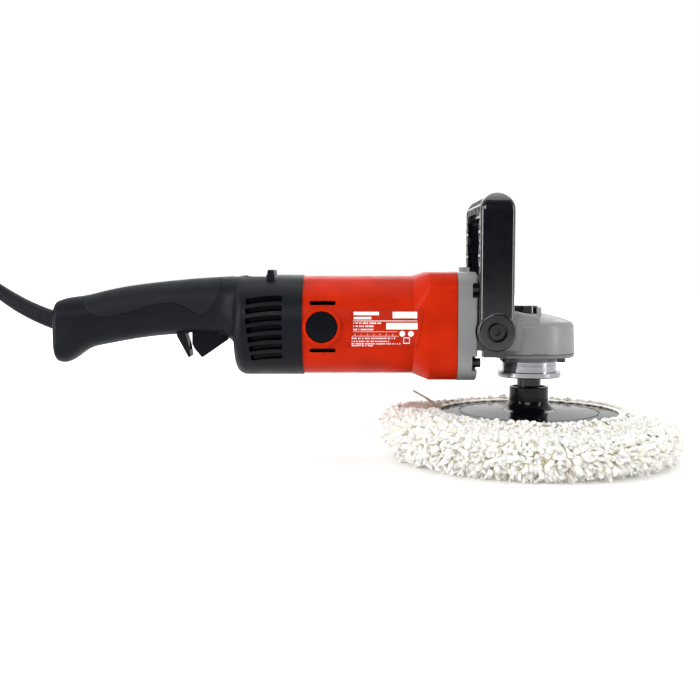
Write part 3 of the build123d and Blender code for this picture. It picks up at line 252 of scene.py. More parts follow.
spring_steel = plain_metal("spring_steel", (0.50, 0.50, 0.52), 0.32, 1600)
bronze = turned_metal("bronze", (0.62, 0.42, 0.18), 0.36, "Z", SPINDLE_AXIS)
brass = plain_metal("brass", (0.78, 0.60, 0.27), 0.28)
copper = striped("copper", (0.22, 0.055, 0.018), (0.74, 0.30, 0.11), 0.34,
                 (60, 1500, 1500), 0.8, 0.0002)
carbon = moulded("carbon", (0.020, 0.020, 0.022), 0.62, 1900, 0.00005)
laminated_steel = striped("laminated_steel", (0.09, 0.09, 0.10), (0.42, 0.42, 0.44), 0.45,
                          (1900, 6, 6), 1.0, 0.00008)
nylon = moulded("nylon", (0.62, 0.60, 0.54), 0.48, 1100, 0.00003)
gloss_pad = moulded("gloss_pad", (0.0030, 0.0032, 0.0040), 0.08, 700, 0.000002,
                    Specular_IOR_Level=0.17)
cord_rubber = moulded("cord_rubber", (0.0080, 0.0085, 0.0100), 0.45, 1700, 0.00004,
                      Specular_IOR_Level=0.2)

circuit_board = moulded("circuit_board", (0.010, 0.115, 0.045), 0.30, 1200, 0.00002, gloss=0.4)
tracks = circuit_board.cells(circuit_board.place((1, 0.25, 1)), 420)
circuit_board.colour(tracks, [(0.20, (0.012, 0.16, 0.060)), (0.42, (0.006, 0.075, 0.030))])

# Suede: bare and tan where the fleece is worn off, cream where its own nap covers it.
suede = Finish("suede", (0.56, 0.44, 0.33), 0.88, Sheen_Weight=0.20, Sheen_Roughness=0.5)
suede_here = suede.place()
suede.colour(suede.attribute("nap").outputs["Fac"],
             [(0.0, (0.40, 0.27, 0.175)), (0.45, (0.62, 0.48, 0.36)), (0.75, (0.93, 0.88, 0.76)),
              (1.0, (0.96, 0.94, 0.88))])
suede.relief(suede.noise(suede_here, 1300, 5.0, 0.7), 0.0003)
suede.relief(suede.noise(suede_here, 260, 3.0), 0.0004)

leather_lace = Finish("leather_lace", (0.52, 0.38, 0.28), 0.72, Sheen_Weight=0.2)
lace_here = leather_lace.place()
leather_lace.colour(leather_lace.noise(lace_here, 420, 5.0, 0.6),
                    [(0.30, (0.36, 0.24, 0.17)), (0.70, (0.66, 0.52, 0.41))])
leather_lace.relief(leather_lace.noise(lace_here, 1500, 4.0), 0.0002)

# Wool: yellow-cream towards the roots, which is painted warm shade in the gaps between locks, near
# white at their tips, with fibres along them.
wool = Finish("wool", (0.96, 0.95, 0.92), 0.85, Sheen_Weight=0.30, Sheen_Roughness=0.45,
              Subsurface_Weight=0.45, Subsurface_Scale=0.006)
wool.shader.inputs["Subsurface Radius"].default_value = (1.0, 0.85, 0.65)
# A faint cream glow: painted warm fill light in the wool's shade.
wool.shader.inputs["Emission Color"].default_value = (1.0, 0.90, 0.70, 1)
wool.shader.inputs["Emission Strength"].default_value = 0.03
wool.colour(wool.attribute("tip").outputs["Fac"],
            [(0.0, (0.95, 0.77, 0.42)), (0.30, (0.97, 0.88, 0.66)), (0.62, (0.98, 0.95, 0.87)),
             (1.0, (0.985, 0.98, 0.955))])
wool.relief(wool.noise(wool.attribute("fibre").outputs["Vector"], 5.0, 3.0, 0.6), 0.0006)
wool.relief(wool.noise(wool.place(), 1400, 3.0), 0.0002)

# The skin under the locks: its cream-yellow is painted warm shade for the gaps between locks, and
# the noise varies the tone at random.
fleece_base = Finish("fleece_base", (0.93, 0.86, 0.68), 0.9, Sheen_Weight=0.25)
fleece_base.colour(fleece_base.noise(fleece_base.place(), 240, 5.0, 0.6),
                   [(0.3, (0.90, 0.76, 0.50)), (0.7, (0.96, 0.92, 0.82))])
fleece_base.relief(fleece_base.noise(fleece_base.place(), 700, 5.0, 0.7), 0.0008)

strap_weave = Finish("strap_weave", (0.02, 0.02, 0.022), 0.85, Sheen_Weight=0.3)
weave = strap_weave.cells(strap_weave.place(), 1500)
strap_weave.colour(weave, [(0.15, (0.030, 0.030, 0.033)), (0.55, (0.010, 0.010, 0.011))])
strap_weave.relief(weave, 0.0002)

FINISHES = {
    handle_plastic: ("handle_shell_right", "handle_shell_left", "air_baffle"),
    soft_grip: ("soft_grip_right", "soft_grip_left", "strain_relief"),
    black_plastic: ("trigger", "lock_on_button", "speed_dial", "brush_caps", "intake_guard"),
    handle_gloss: ("d_handle", "lock_button"),
    red_plastic: ("motor_housing",),
    label_film: ("rating_label",),
    grey_paint: ("gear_housing",),
    dark_grey_paint: ("gear_cover",),
    aluminium: ("bearing_collar",),
    dark_steel: ("spindle",),
    ground_steel: ("gear_spacer", "spindle_bearing", "bevel_gear"),
    bearing_steel: ("armature_shaft", "rear_bearing", "front_bearing", "bevel_pinion"),
    black_steel: ("handle_bolts", "flange_screws", "cover_screws", "handle_washers"),
    plated_steel: ("handle_screws", "trigger_pin", "clamp_screws", "pinion_nut", "plug_pins",
                   "plate_nut"),
    spring_steel: ("trigger_spring", "lock_spring", "brush_springs"),
    bronze: ("spindle_bush",),
    brass: ("brush_holders",),
    copper: ("field_coils", "armature_windings", "commutator"),
    carbon: ("carbon_brushes", "switch_body", "suppressor_capacitor"),
    laminated_steel: ("stator_core", "armature_core"),
    circuit_board: ("speed_controller",),
    nylon: ("cooling_fan", "cord_clamp"),
    gloss_pad: ("backing_plate",),
    cord_rubber: ("mains_cord", "cord_coil", "plug_lead", "plug_body"),
    fleece_base: ("bonnet",),
    leather_lace: ("bonnet_lace",),
}
for finish, names in FINISHES.items():
    for name in names:
        for slot in nodes[name].material_slots:
            slot.material = finish.material
undressed = set(nodes) - {name for names in FINISHES.values() for name in names}
if undressed:
    raise SystemExit(f"nodes without a finish: {sorted(undressed)}")


# ---- mesh helpers -------------------------------------------------------------------------
def new_piece(name, points, faces, finish, body, smooth=True):
    """A mesh piece, its points in metres, riding on a CAD body."""
    mesh = bpy.data.meshes.new(name)
    mesh.from_pydata([tuple(point) for point in points], [], faces)
    mesh.validate()
    mesh.polygons.foreach_set("use_smooth", [smooth] * len(mesh.polygons))
    mesh.materials.append(finish.material)
    piece = bpy.data.objects.new(name, mesh)
    scene.collection.objects.link(piece)
    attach(piece, body)
    return piece


def swept(path, across, section, closed=False):
    """Points and faces of a section carried along a path.

    across gives the section's first axis at each point of the path; section is a list of
    (first, second) offsets.
    """
    points = []
    count = len(path)
    for index, here in enumerate(path):
        after = path[(index + 1) % count] if closed or index + 1 < count else here
        before = path[index - 1] if closed or index > 0 else here
        ahead = (after - before).normalized()
        first = across[index] - ahead * across[index].dot(ahead)
        first.normalize()
        second = ahead.cross(first)
        for a, b in section:
            points.append(here + first * a + second * b)
    size = len(section)
    faces = []
    for index in range(count if closed else count - 1):
        near = index * size
        far = ((index + 1) % count) * size
        for side in range(size):
            turn = (side + 1) % size
            faces.append((near + side, near + turn, far + turn, far + side))
    if not closed:
        faces.append(tuple(reversed(range(size))))
        faces.append(tuple(range((count - 1) * size, count * size)))
    return points, faces


def rounded_section(width, height, radius, steps=3):
    """Outline of a rounded rectangle."""
    outline = []
    for corner, (side_x, side_y) in enumerate(((1, 1), (-1, 1), (-1, -1), (1, -1))):
        for step in range(steps + 1):
            angle = math.pi / 2 * (corner + step / steps)
            outline.append((side_x * (width / 2 - radius) + radius * math.cos(angle),
                            side_y * (height / 2 - radius) + radius * math.sin(angle)))
    return outline


# ---- mains cord ---------------------------------------------------------------------------
CORD_D = 8.0
CORD_ROUTE = [
    (-473.4, 0.0, 150.2),
    (-492.0, 0.0, 166.2),
    (-514.0, -1.0, 175.5),
    (-537.0, -2.5, 176.0),
    (-558.0, -4.5, 166.5),
    (-574.0, -7.0, 148.5),
    (-583.0, -9.5, 125.5),
    (-588.0, -11.5, 99.0),
    (-591.0, -12.6, 68.0),
    (-592.0, -13.0, 37.3),
    (-593.6, -25.1, 16.5),
    (-595.2, -45.9, 4.4),
]
LEAD_ROUTE = [
    (-483.5, -43.0, 9.0),
    (-487.0, -14.0, 5.0),
    (-502.0, 8.0, 4.4),
    (-525.0, 20.0, 6.0),
    (-546.0, 22.0, 8.0),
]
COIL_X = -540.0
COIL_Y = -70.0
COIL_OUTER = 55.5
COIL_LOW_Z = 4.4
COIL_START = math.pi       # the cord joins the coil at its -X point, heading -Y
COIL_TURNS = 5.5
COIL_SWING = 2.7           # how far the change of layer swings inwards
KEPT_SHARE = 0.75          # the share of a turn that keeps its radius
TURN_POINTS = 16


def eased(value):
    """A smooth step from 0 to 1."""
    value = min(max(value, 0.0), 1.0)
    return value * value * (3 - 2 * value)


def coil_points():
    """Three turns inwards on the floor, then two and a half outwards on top of them.

    Each turn keeps its radius for three quarters of the way and then moves over by one cord,
    as a wound coil does. The change of layer swings a little inwards as it climbs.
    """
    points = []
    for step in range(int(COIL_TURNS * TURN_POINTS) + 1):
        turns = step / TURN_POINTS
        whole = int(turns)
        moved = eased((turns - whole - KEPT_SHARE) / (1 - KEPT_SHARE))
        radius = COIL_OUTER - CORD_D * min(whole + moved, 2.0)
        height = COIL_LOW_Z
        if whole == 2:
            radius = COIL_OUTER - 2 * CORD_D - COIL_SWING * math.sin(math.pi * moved)
            height += CORD_D * moved
        elif whole > 2:
            radius = COIL_OUTER - CORD_D * max(5.0 - whole - moved, 0.0)
            height += CORD_D
        angle = COIL_START + 2 * math.pi * turns
        points.append((COIL_X + radius * math.cos(angle), COIL_Y + radius * math.sin(angle),
                       height))
    return points


cord_line = bpy.data.curves.new("mains_cord_line", "CURVE")
cord_line.dimensions = "3D"
cord_line.bevel_depth = CORD_D / 2 * MM
cord_line.bevel_resolution = 5
cord_line.resolution_u = 10
cord_line.use_fill_caps = True
spline = cord_line.splines.new("NURBS")
route = CORD_ROUTE + coil_points() + LEAD_ROUTE
spline.points.add(len(route) - 1)
for control, (x, y, z) in zip(spline.points, route):
    control.co = (x * MM, y * MM, z * MM, 1.0)
spline.order_u = 3
spline.use_endpoint_u = True
cord_line.materials.append(cord_rubber.material)
power_cord = bpy.data.objects.new("power_cord", cord_line)
scene.collection.objects.link(power_cord)
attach(power_cord, "tool")
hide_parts("mains_cord", "cord_coil", "plug_lead")

# Strap round the coil: a flat loop just outside the section of its six cords.
STRAP_WIDTH = 12.0
STRAP_THICK = 0.4
STRAP_EDGE_R = 0.18
STRAP_ANGLE = math.radians(270)
strap_out = Vector((math.cos(STRAP_ANGLE), math.sin(STRAP_ANGLE), 0))
strap_along = Vector((-math.sin(STRAP_ANGLE), math.cos(STRAP_ANGLE), 0))
strap_centre = Vector((COIL_X, COIL_Y, 0)) + strap_out * (COIL_OUTER - CORD_D)
strap_centre.z = COIL_LOW_Z + CORD_D / 2
strap_path = []
strap_loop = rounded_section(3 * CORD_D + STRAP_THICK, 2 * CORD_D + STRAP_THICK,
                             CORD_D / 2 + STRAP_THICK / 2, 5)
for out, up in strap_loop:
    strap_path.append((strap_centre + strap_out * out + Vector((0, 0, up))) * MM)
points, faces = swept(strap_path, [strap_along] * len(strap_path),
                      rounded_section(STRAP_WIDTH * MM, STRAP_THICK * MM, STRAP_EDGE_R * MM),
                      closed=True)
coil_strap = new_piece("coil_strap", points, faces, strap_weave, "tool")

# ---- lambswool bonnet ---------------------------------------------------------------------
# Angles are round the spindle from +X. Rows count the skin from the underside's middle out,
# over the rim and in to the hem.
WOOL_SEED = 41
RIM_MEAN = 38.0            # height of the skin at the top of the rim, between its ends
RIM_TILT_X = 7.5           # the rim stands higher at -X and lower at +X
RIM_TILT_Y = 3.5           # and a little higher at -Y than at +Y
RIM_SAG = 8.5              # and is pressed down along both sides
WOOL_LIMIT_R = 134.5
FLOOR_CLEARANCE = 0.4
LID_CLEARANCE = 1.2
PLATE_EDGE_R = 88.0
PLATE_TOP_Z = 40.2
PLATE_SKIN_Z = 40.4        # the skin where it reaches the plate's edge
HEM_R = 78.5
LINE_STEPS = 16


def rim_height(angle):
    """Height of the skin at the top of the rim."""
    tilt = RIM_TILT_X * math.cos(angle) + RIM_TILT_Y * math.sin(angle)
    return RIM_MEAN - tilt - RIM_SAG * math.sin(angle) ** 2


def smooth_line(points, samples):
    """Catmull-Rom line through points, sampled evenly along its length."""
    padded = [2 * points[0] - points[1], *points, 2 * points[-1] - points[-2]]
    fine = []
    for a, b, c, d in zip(padded, padded[1:], padded[2:], padded[3:]):
        for step in range(LINE_STEPS):
            t = step / LINE_STEPS
            fine.append(0.5 * (2 * b + (c - a) * t + (2 * a - 5 * b + 4 * c - d) * t * t
                               + (3 * b - a - 3 * c + d) * t * t * t))
    fine.append(points[-1])
    fine = np.array(fine)
    lengths = np.concatenate(([0], np.cumsum(np.linalg.norm(np.diff(fine, axis=0), axis=1))))
    places = np.linspace(0, lengths[-1], samples)
    return np.stack([np.interp(places, lengths, fine[:, axis]) for axis in (0, 1)], axis=1)


def skin_outline(angle, samples):
    """The fleece's skin at an angle: (radius, height) from the underside's middle, out over
    the rim and down onto the plate."""
    rim = rim_height(angle)
    climb = max(PLATE_SKIN_Z - rim, 0.0)
    corners = [(0.0, 6.5), (50.0, 6.5), (96.0, 6.6), (112.0, 8.5), (121.5, 0.42 * rim),
               (124.5, 0.64 * rim), (121.0, 0.84 * rim), (112.0, rim - 1.2), (102.0, rim - 0.5),
               (96.0, rim + 0.20 * climb), (91.5, rim + 0.75 * climb), (86.0, 41.3),
               (HEM_R, 40.8)]
    return smooth_line([np.array(corner) for corner in corners], samples)


SKIN_ROWS = 64
SKIN_COLUMNS = 180
HEM_ROW = 47               # from here to the hem the skin is suede, under the lip's locks
LIP_ROW = 50               # the worn patch starts here
PLEATS = 52
MINOR_PLEATS = 31
BARE_MIDDLE = math.pi - 0.04   # angle of the middle of the patch where the wool is worn off
BARE_HALF = 0.36           # half the patch, in radians
NAP_FADE = 0.16            # the nap comes back over this angle
FLEECE_SKIN = 2.0
HEM_SKIN = 1.1
PLEAT_DEPTH = 0.30
outlines = np.array([skin_outline(2 * math.pi * column / SKIN_COLUMNS, SKIN_ROWS)
                     for column in range(SKIN_COLUMNS)])


def skin_point(angle, row):
    """Point of the skin at an angle and a row, which may be between whole ones."""
    column = angle / (2 * math.pi) * SKIN_COLUMNS
    left = int(math.floor(column))
    across = column - left
    low = min(int(row), SKIN_ROWS - 2)
    along = row - low
    radius, height = sum(
        outlines[(left + dx) % SKIN_COLUMNS, low + dy]
        * ((across if dx else 1 - across) * (along if dy else 1 - along))
        for dx in (0, 1) for dy in (0, 1))
    return radius, height


def skin_normal(angle, row):
    """Outward direction of the skin's outline there, as (radius, height)."""
    before = skin_point(angle, max(row - 0.6, 0))
    after = skin_point(angle, min(row + 0.6, SKIN_ROWS - 1))
    step = np.array([after[0] - before[0], after[1] - before[1]])
    step /= np.linalg.norm(step)
    return np.array([step[1], -step[0]])


def lathe_rows(first_row, last_row, thickness, pleats):
    """Closed shell of the skin between two rows, with pleats that grow towards the hem."""
    rows = list(range(first_row, last_row + 1))
    points = []
    for layer in (0, 1):
        for row in rows:
            for column in range(SKIN_COLUMNS):
                angle = 2 * math.pi * column / SKIN_COLUMNS
                radius, height = skin_point(angle, row)
                out, up = skin_normal(angle, row)
                fold = pleats * eased((row - HEM_ROW) / 12)
                wave = fold * (math.sin(PLEATS * angle)
                               + 0.6 * math.sin(MINOR_PLEATS * angle + 2.0))
                offset = wave - (thickness if layer else 0)
                radius = max(radius + out * offset, 0.0)
                height = height + up * offset
                points.append(Vector((radius * math.cos(angle), radius * math.sin(angle),
                                      height)) * MM)
    count = len(rows)
    faces = []

    def index(layer, row, column):
        return (layer * count + row) * SKIN_COLUMNS + column % SKIN_COLUMNS

    for row in range(count - 1):
        for column in range(SKIN_COLUMNS):
            for layer in (0, 1):
                ring = [index(layer, row, column), index(layer, row, column + 1),
                        index(layer, row + 1, column + 1), index(layer, row + 1, column)]
                faces.append(tuple(ring if layer else reversed(ring)))
    for row, flip in ((0, False), (count - 1, True)):
        for column in range(SKIN_COLUMNS):
            ring = [index(0, row, column), index(0, row, column + 1),
                    index(1, row, column + 1), index(1, row, column)]
            faces.append(tuple(reversed(ring) if flip else ring))
    return points, faces


points, faces = lathe_rows(1, HEM_ROW, FLEECE_SKIN, 0.0)
bonnet_backing = new_piece("bonnet_backing", points, faces, fleece_base, "spindle_group")
points, faces = lathe_rows(HEM_ROW, SKIN_ROWS - 1, HEM_SKIN, PLEAT_DEPTH)
bonnet_hem = new_piece("bonnet_hem", points, faces, suede, "spindle_group")
nap = bonnet_hem.data.attributes.new("nap", "FLOAT", "POINT")
nap_chance = random.Random(WOOL_SEED + 9)
nap.data.foreach_set("value", [
    eased((abs(2 * math.pi * (place % SKIN_COLUMNS) / SKIN_COLUMNS - BARE_MIDDLE) - BARE_HALF)
          / NAP_FADE + 0.5) + nap_chance.uniform(-0.16, 0.10)
    for place in range(len(points))])

# A lock's rings: their places along it, and their share of its width.
RING_PLACES = np.array([0.0, 0.32, 0.62, 0.84, 0.96])
RING_WIDTHS = np.array([0.78, 0.98, 1.08, 0.98, 0.66])
SIDES = 5
LID_FROM_Z = 30            # locks over the plate and above this height lie on the plate


def lock_bundle(name, roots, directions, bends, lengths, widths, shades):
    """Many wool locks as one mesh: each a tapered, curved strand, closed at both ends."""
    count = len(roots)
    places = RING_PLACES[None, :, None]
    curve = (roots[:, None, :] + directions[:, None, :] * (lengths[:, None, None] * places)
             + bends[:, None, :] * (lengths[:, None, None] * places ** 2))
    tips = roots + directions * lengths[:, None] + bends * lengths[:, None]
    heading = directions[:, None, :] + 2 * bends[:, None, :] * places
    heading /= np.linalg.norm(heading, axis=2, keepdims=True)
    helper = np.where(np.abs(heading[:, :, 2:3]) < 0.8, [[[0.0, 0.0, 1.0]]], [[[1.0, 0.0, 0.0]]])
    first = np.cross(heading, helper)
    first /= np.linalg.norm(first, axis=2, keepdims=True)
    second = np.cross(heading, first)
    turn = np.arange(SIDES) * 2 * np.pi / SIDES
    radius = (widths[:, None] * RING_WIDTHS[None, :])[:, :, None, None]
    rings = curve[:, :, None, :] + radius * (
        first[:, :, None, :] * np.cos(turn)[None, None, :, None]
        + second[:, :, None, :] * np.sin(turn)[None, None, :, None])
    ring_count = len(RING_PLACES)
    per_lock = ring_count * SIDES + 1
    points = np.concatenate([rings.reshape(count, ring_count * SIDES, 3), tips[:, None, :]],
                            axis=1)
    flat = points.reshape(-1, 3)
    out = np.hypot(flat[:, 0], flat[:, 1])
    shrink = np.minimum(1.0, WOOL_LIMIT_R / np.maximum(out, 1e-6))
    flat[:, :2] *= shrink[:, None]
    on_plate = (out < PLATE_EDGE_R + 2) & (flat[:, 2] > LID_FROM_Z)
    lowest = np.where(on_plate, PLATE_TOP_Z + LID_CLEARANCE, FLOOR_CLEARANCE)
    flat[:, 2] = np.maximum(flat[:, 2], lowest)
    faces = []
    for ring in range(ring_count - 1):
        for side in range(SIDES):
            turned = (side + 1) % SIDES
            faces.append((ring * SIDES + side, ring * SIDES + turned,
                          (ring + 1) * SIDES + turned, (ring + 1) * SIDES + side))
    last = (ring_count - 1) * SIDES
    for side in range(SIDES):
        faces.append((last + side, last + (side + 1) % SIDES, last + SIDES))
    faces.append(tuple(reversed(range(SIDES))))
    all_faces = []
    for lock in range(count):
        start = lock * per_lock
        all_faces.extend(tuple(start + corner for corner in face) for face in faces)
    piece = new_piece(name, flat * MM, all_faces, wool, "spindle_group")
    along = np.concatenate([np.repeat(RING_PLACES, SIDES), [1.0]])
    # tip runs from 0 at a lock's root to 1 at its tip; the wool ramp paints warm shade towards the
    # root.
    tip = piece.data.attributes.new("tip", "FLOAT", "POINT")
    tip.data.foreach_set("value", np.clip(along[None, :] * 0.8 + shades[:, None], 0, 1)
                         .ravel().astype(np.float32))
    fibre = piece.data.attributes.new("fibre", "FLOAT_VECTOR", "POINT")
    spin = np.concatenate([np.tile(turn, ring_count), [0.0]])
    vectors = np.stack([np.tile(np.cos(spin), (count, 1)), np.tile(np.sin(spin), (count, 1)),
                        along[None, :] * 0.35 + np.arange(count)[:, None] * 3.7], axis=2)
    fibre.data.foreach_set("vector", vectors.ravel().astype(np.float32))
    return piece


LOCK_SINK = 1.5            # a lock's root is this far under the skin
SHORT_ROW = 44


def wool_locks(first_row, last_row, spacing, length, width, lean, seed):
    """Roots and shapes of locks spread evenly over the skin between two rows.

    Locks get shorter from SHORT_ROW to the hem. The worn patch has none, and it narrows
    towards the rim.
    """
    chance = random.Random(seed)
    step = np.linalg.norm(outlines[0, 30] - outlines[0, 31])
    found = []
    row = float(first_row)
    while row < last_row:
        around = max(int(2 * math.pi * skin_point(0.0, row)[0] / spacing), 1)
        for place in range(around):
            angle = 2 * math.pi * (place + chance.random()) / around
            here = min(max(row + (chance.random() - 0.5) * spacing / step, first_row), last_row)
            edge = BARE_HALF * (1 - 0.55 * eased((56 - here) / 7))
            bare = abs(angle - BARE_MIDDLE) < edge and here > LIP_ROW
            radius, height = skin_point(angle, here)
            out, up = skin_normal(angle, here)
            tilt = chance.gauss(0, lean)
            side = chance.gauss(0, lean)
            outward = np.array([math.cos(angle), math.sin(angle), 0.0])
            sideways = np.array([-math.sin(angle), math.cos(angle), 0.0])
            upward = np.array([0.0, 0.0, 1.0])
            direction = outward * (out + tilt * up) + upward * (up - tilt * out) + sideways * side
            direction /= np.linalg.norm(direction)
            bend = (outward * chance.gauss(0, 0.30) + sideways * chance.gauss(0, 0.38)
                    + upward * (chance.gauss(0, 0.22) - 0.10))
            size = chance.uniform(0.75, 1.2) * (1 - 0.55 * eased((here - SHORT_ROW) / 8))
            if bare:
                continue
            root = outward * (radius - LOCK_SINK * out) + upward * (height - LOCK_SINK * up)
            found.append((root, direction, bend, length * size,
                          width * chance.uniform(0.75, 1.25), chance.uniform(-0.05, 0.22)))
        row += spacing / step
    return [np.array(column) for column in zip(*found)]


# first row, last row, spacing, length, half width, lean, seed
WOOL_PIECES = {
    "fleece_side": wool_locks(26, 38, 3.0, 8.8, 2.3, 0.36, WOOL_SEED),
    "fleece_rim": wool_locks(38, 49, 3.0, 8.4, 2.2, 0.36, WOOL_SEED + 1),
    "fleece_lip": wool_locks(49, 61, 3.1, 8.4, 2.2, 0.36, WOOL_SEED + 4),
    "fleece_underside": wool_locks(2, 26, 4.4, 12.0, 2.4, 0.55, WOOL_SEED + 2),
    "fleece_wisps": wool_locks(27, 57, 4.2, 10.5, 1.2, 0.60, WOOL_SEED + 3),
}
for name, shapes in WOOL_PIECES.items():
    lock_bundle(name, *shapes)
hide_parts("bonnet")

# Leather lace that draws the hem tight: its loose end stands up beside the plate.
LACE_WIDTH = 3.2
LACE_THICK = 1.1
LACE_EDGE_R = 0.45
lace_corners = [(-82.0, 11.0, 44.6), (-86.0, 8.0, 48.0), (-91.0, 5.0, 51.6), (-97.0, 3.0, 55.4),
                (-103.0, 2.2, 58.6)]
lace_path = []
for start, end in zip(lace_corners, lace_corners[1:]):
    for step in range(4):
        lace_path.append(Vector(start).lerp(Vector(end), step / 4) * MM)
lace_path.append(Vector(lace_corners[-1]) * MM)
lace_across = [Vector((0.35 + 0.4 * math.sin(place / 5.0), 0.9, 0.25 * math.cos(place / 3.0)))
               for place in range(len(lace_path))]
points, faces = swept(lace_path, lace_across,
                      rounded_section(LACE_WIDTH * MM, LACE_THICK * MM, LACE_EDGE_R * MM))
drawstring = new_piece("drawstring", points, faces, leather_lace, "spindle_group")
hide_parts("bonnet_lace")

# ---- side handle rib crests ---------------------------------------------------------------
# The lattice in the side handle's pockets comes up flush with its outer flange. These crests
# stand on the lattice, on both faces of the loop.
LOOP_X = -36.4
LOOP_Z = 114.3
LOOP_TOP = 231.0
CREST_LOW = 12.6           # from the loop's middle plane
CREST_HIGH = 14.5
CREST_INNER = 38.7         # across the tool
CREST_OUTER = 50.9
LOOP_ROUND = 14.65         # the top bar's round in side view
CREST_PITCH = 20.0         # along an arm
CREST_CELLS = 4
FIRST_CREST = 24.0         # above the loop's bolts
CREST_HALF = 1.2
LEAN = math.radians(33)
LEAN_HALF_LENGTH = 9.3
LEAN_HALF_WIDTH = 0.8
LEAN_MIDDLE = 46.0         # across the tool
BAR_PITCH = 10.0
BAR_CELLS = 9
BAR_STEPS = 5


class Crests:
    """Rib crests gathered into one mesh; each is a closed six-sided block."""

    def __init__(self):
        self.points = []
        self.faces = []

    def block(self, corners):
        """corners: four (x, y, z) low ones, then the four above them in the same order."""
        start = len(self.points)
        self.points.extend(Vector(corner) * MM for corner in corners)
        middle = sum((Vector(corner) for corner in corners), Vector()) / 8
        for ring in ((0, 1, 2, 3), (4, 5, 6, 7), (0, 1, 5, 4), (1, 2, 6, 5), (2, 3, 7, 6),
                     (3, 0, 4, 7)):
            a, b, c = (Vector(corners[index]) for index in ring[:3])
            away = (b - a).cross(c - b).dot((a + c) / 2 - middle)
            ordered = ring if away > 0 else tuple(reversed(ring))
            self.faces.append(tuple(start + index for index in ordered))

    def on_arm(self, face, ring):
        """A crest on an arm's side face, over a ring of four (y, z) corners."""
        self.block([(LOOP_X + face * CREST_LOW, y, z) for y, z in ring]
                   + [(LOOP_X + face * CREST_HIGH, y, z) for y, z in ring])

    def level(self, face, side, height):
        self.on_arm(face, [(side * CREST_INNER, height - CREST_HALF),
                           (side * CREST_OUTER, height - CREST_HALF),
                           (side * CREST_OUTER, height + CREST_HALF),
                           (side * CREST_INNER, height + CREST_HALF)])

    def leaning(self, face, side, height, lean):
        up = Vector((math.sin(lean), math.cos(lean)))
        over = Vector((math.cos(lean), -math.sin(lean)))
        ring = []
        for a, b in ((-1, -1), (1, -1), (1, 1), (-1, 1)):
            place = up * (b * LEAN_HALF_LENGTH) + over * (a * LEAN_HALF_WIDTH)
            ring.append((side * LEAN_MIDDLE + place.x, height + place.y))
        self.on_arm(face, ring)

    def over_bar(self, face, near, far, turn_low, turn_high):
        """A crest that follows the top bar's round between two angles above its middle."""
        centre_z = LOOP_TOP - LOOP_ROUND
        for step in range(BAR_STEPS):
            corners = []
            for radius in (LOOP_ROUND - 2.0, LOOP_ROUND - 0.12):
                for turn, y in ((step, near), (step, far), (step + 1, far), (step + 1, near)):
                    angle = turn_low + (turn_high - turn_low) * turn / BAR_STEPS
                    corners.append((LOOP_X + face * radius * math.cos(angle), y,
                                    centre_z + radius * math.sin(angle)))
            self.block(corners)


crests = Crests()
for face in (-1, 1):
    for side in (-1, 1):
        for cell in range(CREST_CELLS):
            height = LOOP_Z + FIRST_CREST + CREST_PITCH * cell
            crests.level(face, side, height)
            for way in (-1, 1):
                crests.leaning(face, side, height + CREST_PITCH / 2, LEAN * way)
    for cell in range(BAR_CELLS):
        across = (cell - BAR_CELLS // 2) * BAR_PITCH
        crests.over_bar(face, across - 1.0, across + 1.0, math.radians(-8), math.radians(38))
    crests.over_bar(face, -46.0, 46.0, math.radians(14), math.radians(22))
handle_crests = new_piece("handle_crests", crests.points, crests.faces, handle_gloss, "tool",
                          smooth=False)

# ---- slot liners --------------------------------------------------------------------------
# Curved dust shields behind the cooling slots beside the brush caps, one over and one under
# each cap.
LINER_R = 36.8
LINER_REAR = -198.0
LINER_FRONT = -168.0
LINER_HALF = math.radians(17)
LINER_STEPS = 10
LINER_THICK = 1.0
LINER_TURN_IN = 0.9        # the long edges turn in a little, like a shallow tray
LINER_MIDDLES = (33, 147, -33, -147)   # degrees round the motor from +Y


def liner(middle):
    """Points and faces of one curved shield, a closed slab round the motor's axis."""
    rows = []
    for step in range(LINER_STEPS + 1):
        angle = middle + LINER_HALF * (2 * step / LINER_STEPS - 1)
        outer = LINER_R - LINER_TURN_IN * abs(2 * step / LINER_STEPS - 1) ** 6
        inner = outer - LINER_THICK
        for x, radius in ((LINER_REAR, outer), (LINER_FRONT, outer), (LINER_FRONT, inner),
                          (LINER_REAR, inner)):
            rows.append(Vector((x * MM, radius * math.cos(angle) * MM,
                                MOTOR_AXIS[2] + radius * math.sin(angle) * MM)))
    faces = []
    for step in range(LINER_STEPS):
        near = 4 * step
        for side in range(4):
            turn = (side + 1) % 4
            faces.append((near + 4 + side, near + 4 + turn, near + turn, near + side))
    faces.append((0, 1, 2, 3))
    faces.append(tuple(4 * LINER_STEPS + corner for corner in (3, 2, 1, 0)))
    return rows, faces


points = []
faces = []
for middle in LINER_MIDDLES:
    liner_points, liner_faces = liner(math.radians(middle))
    faces.extend(tuple(len(points) + corner for corner in face) for face in liner_faces)
    points.extend(liner_points)
slot_liners = new_piece("slot_liners", points, faces, black_plastic, "tool")

# ---- print on the rating label ------------------------------------------------------------
INK_PROUD = 0.06 * MM
INK_SUNK = 0.08 * MM
INK_STEP_X = 4 * MM        # bars are divided so, to follow the label's curve
INK_STEP_Z = 1.2 * MM
NUMERAL = 1.7 * MM
DISC_R = 2.4 * MM
DISC_SIDES = 20
label_low, label_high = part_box("rating_label")
label_width = label_high.x - label_low.x
label_height = label_high.z - label_low.z
label_surface = BVHTree.FromPolygons(
    [vertex.co.copy() for vertex in nodes["rating_label"].data.vertices],
    [tuple(polygon.vertices) for polygon in nodes["rating_label"].data.polygons])


def on_label(x, z):
    """Point of the label's face at a place across and up it, and its outward direction."""
    hit, normal, _, _ = label_surface.ray_cast(Vector((x, -0.2, z)), Vector((0, 1, 0)))
    if hit is None:
        hit, normal = Vector((x, label_low.y, z)), Vector((0, -1, 0))
    return hit, normal if normal.y < 0 else -normal


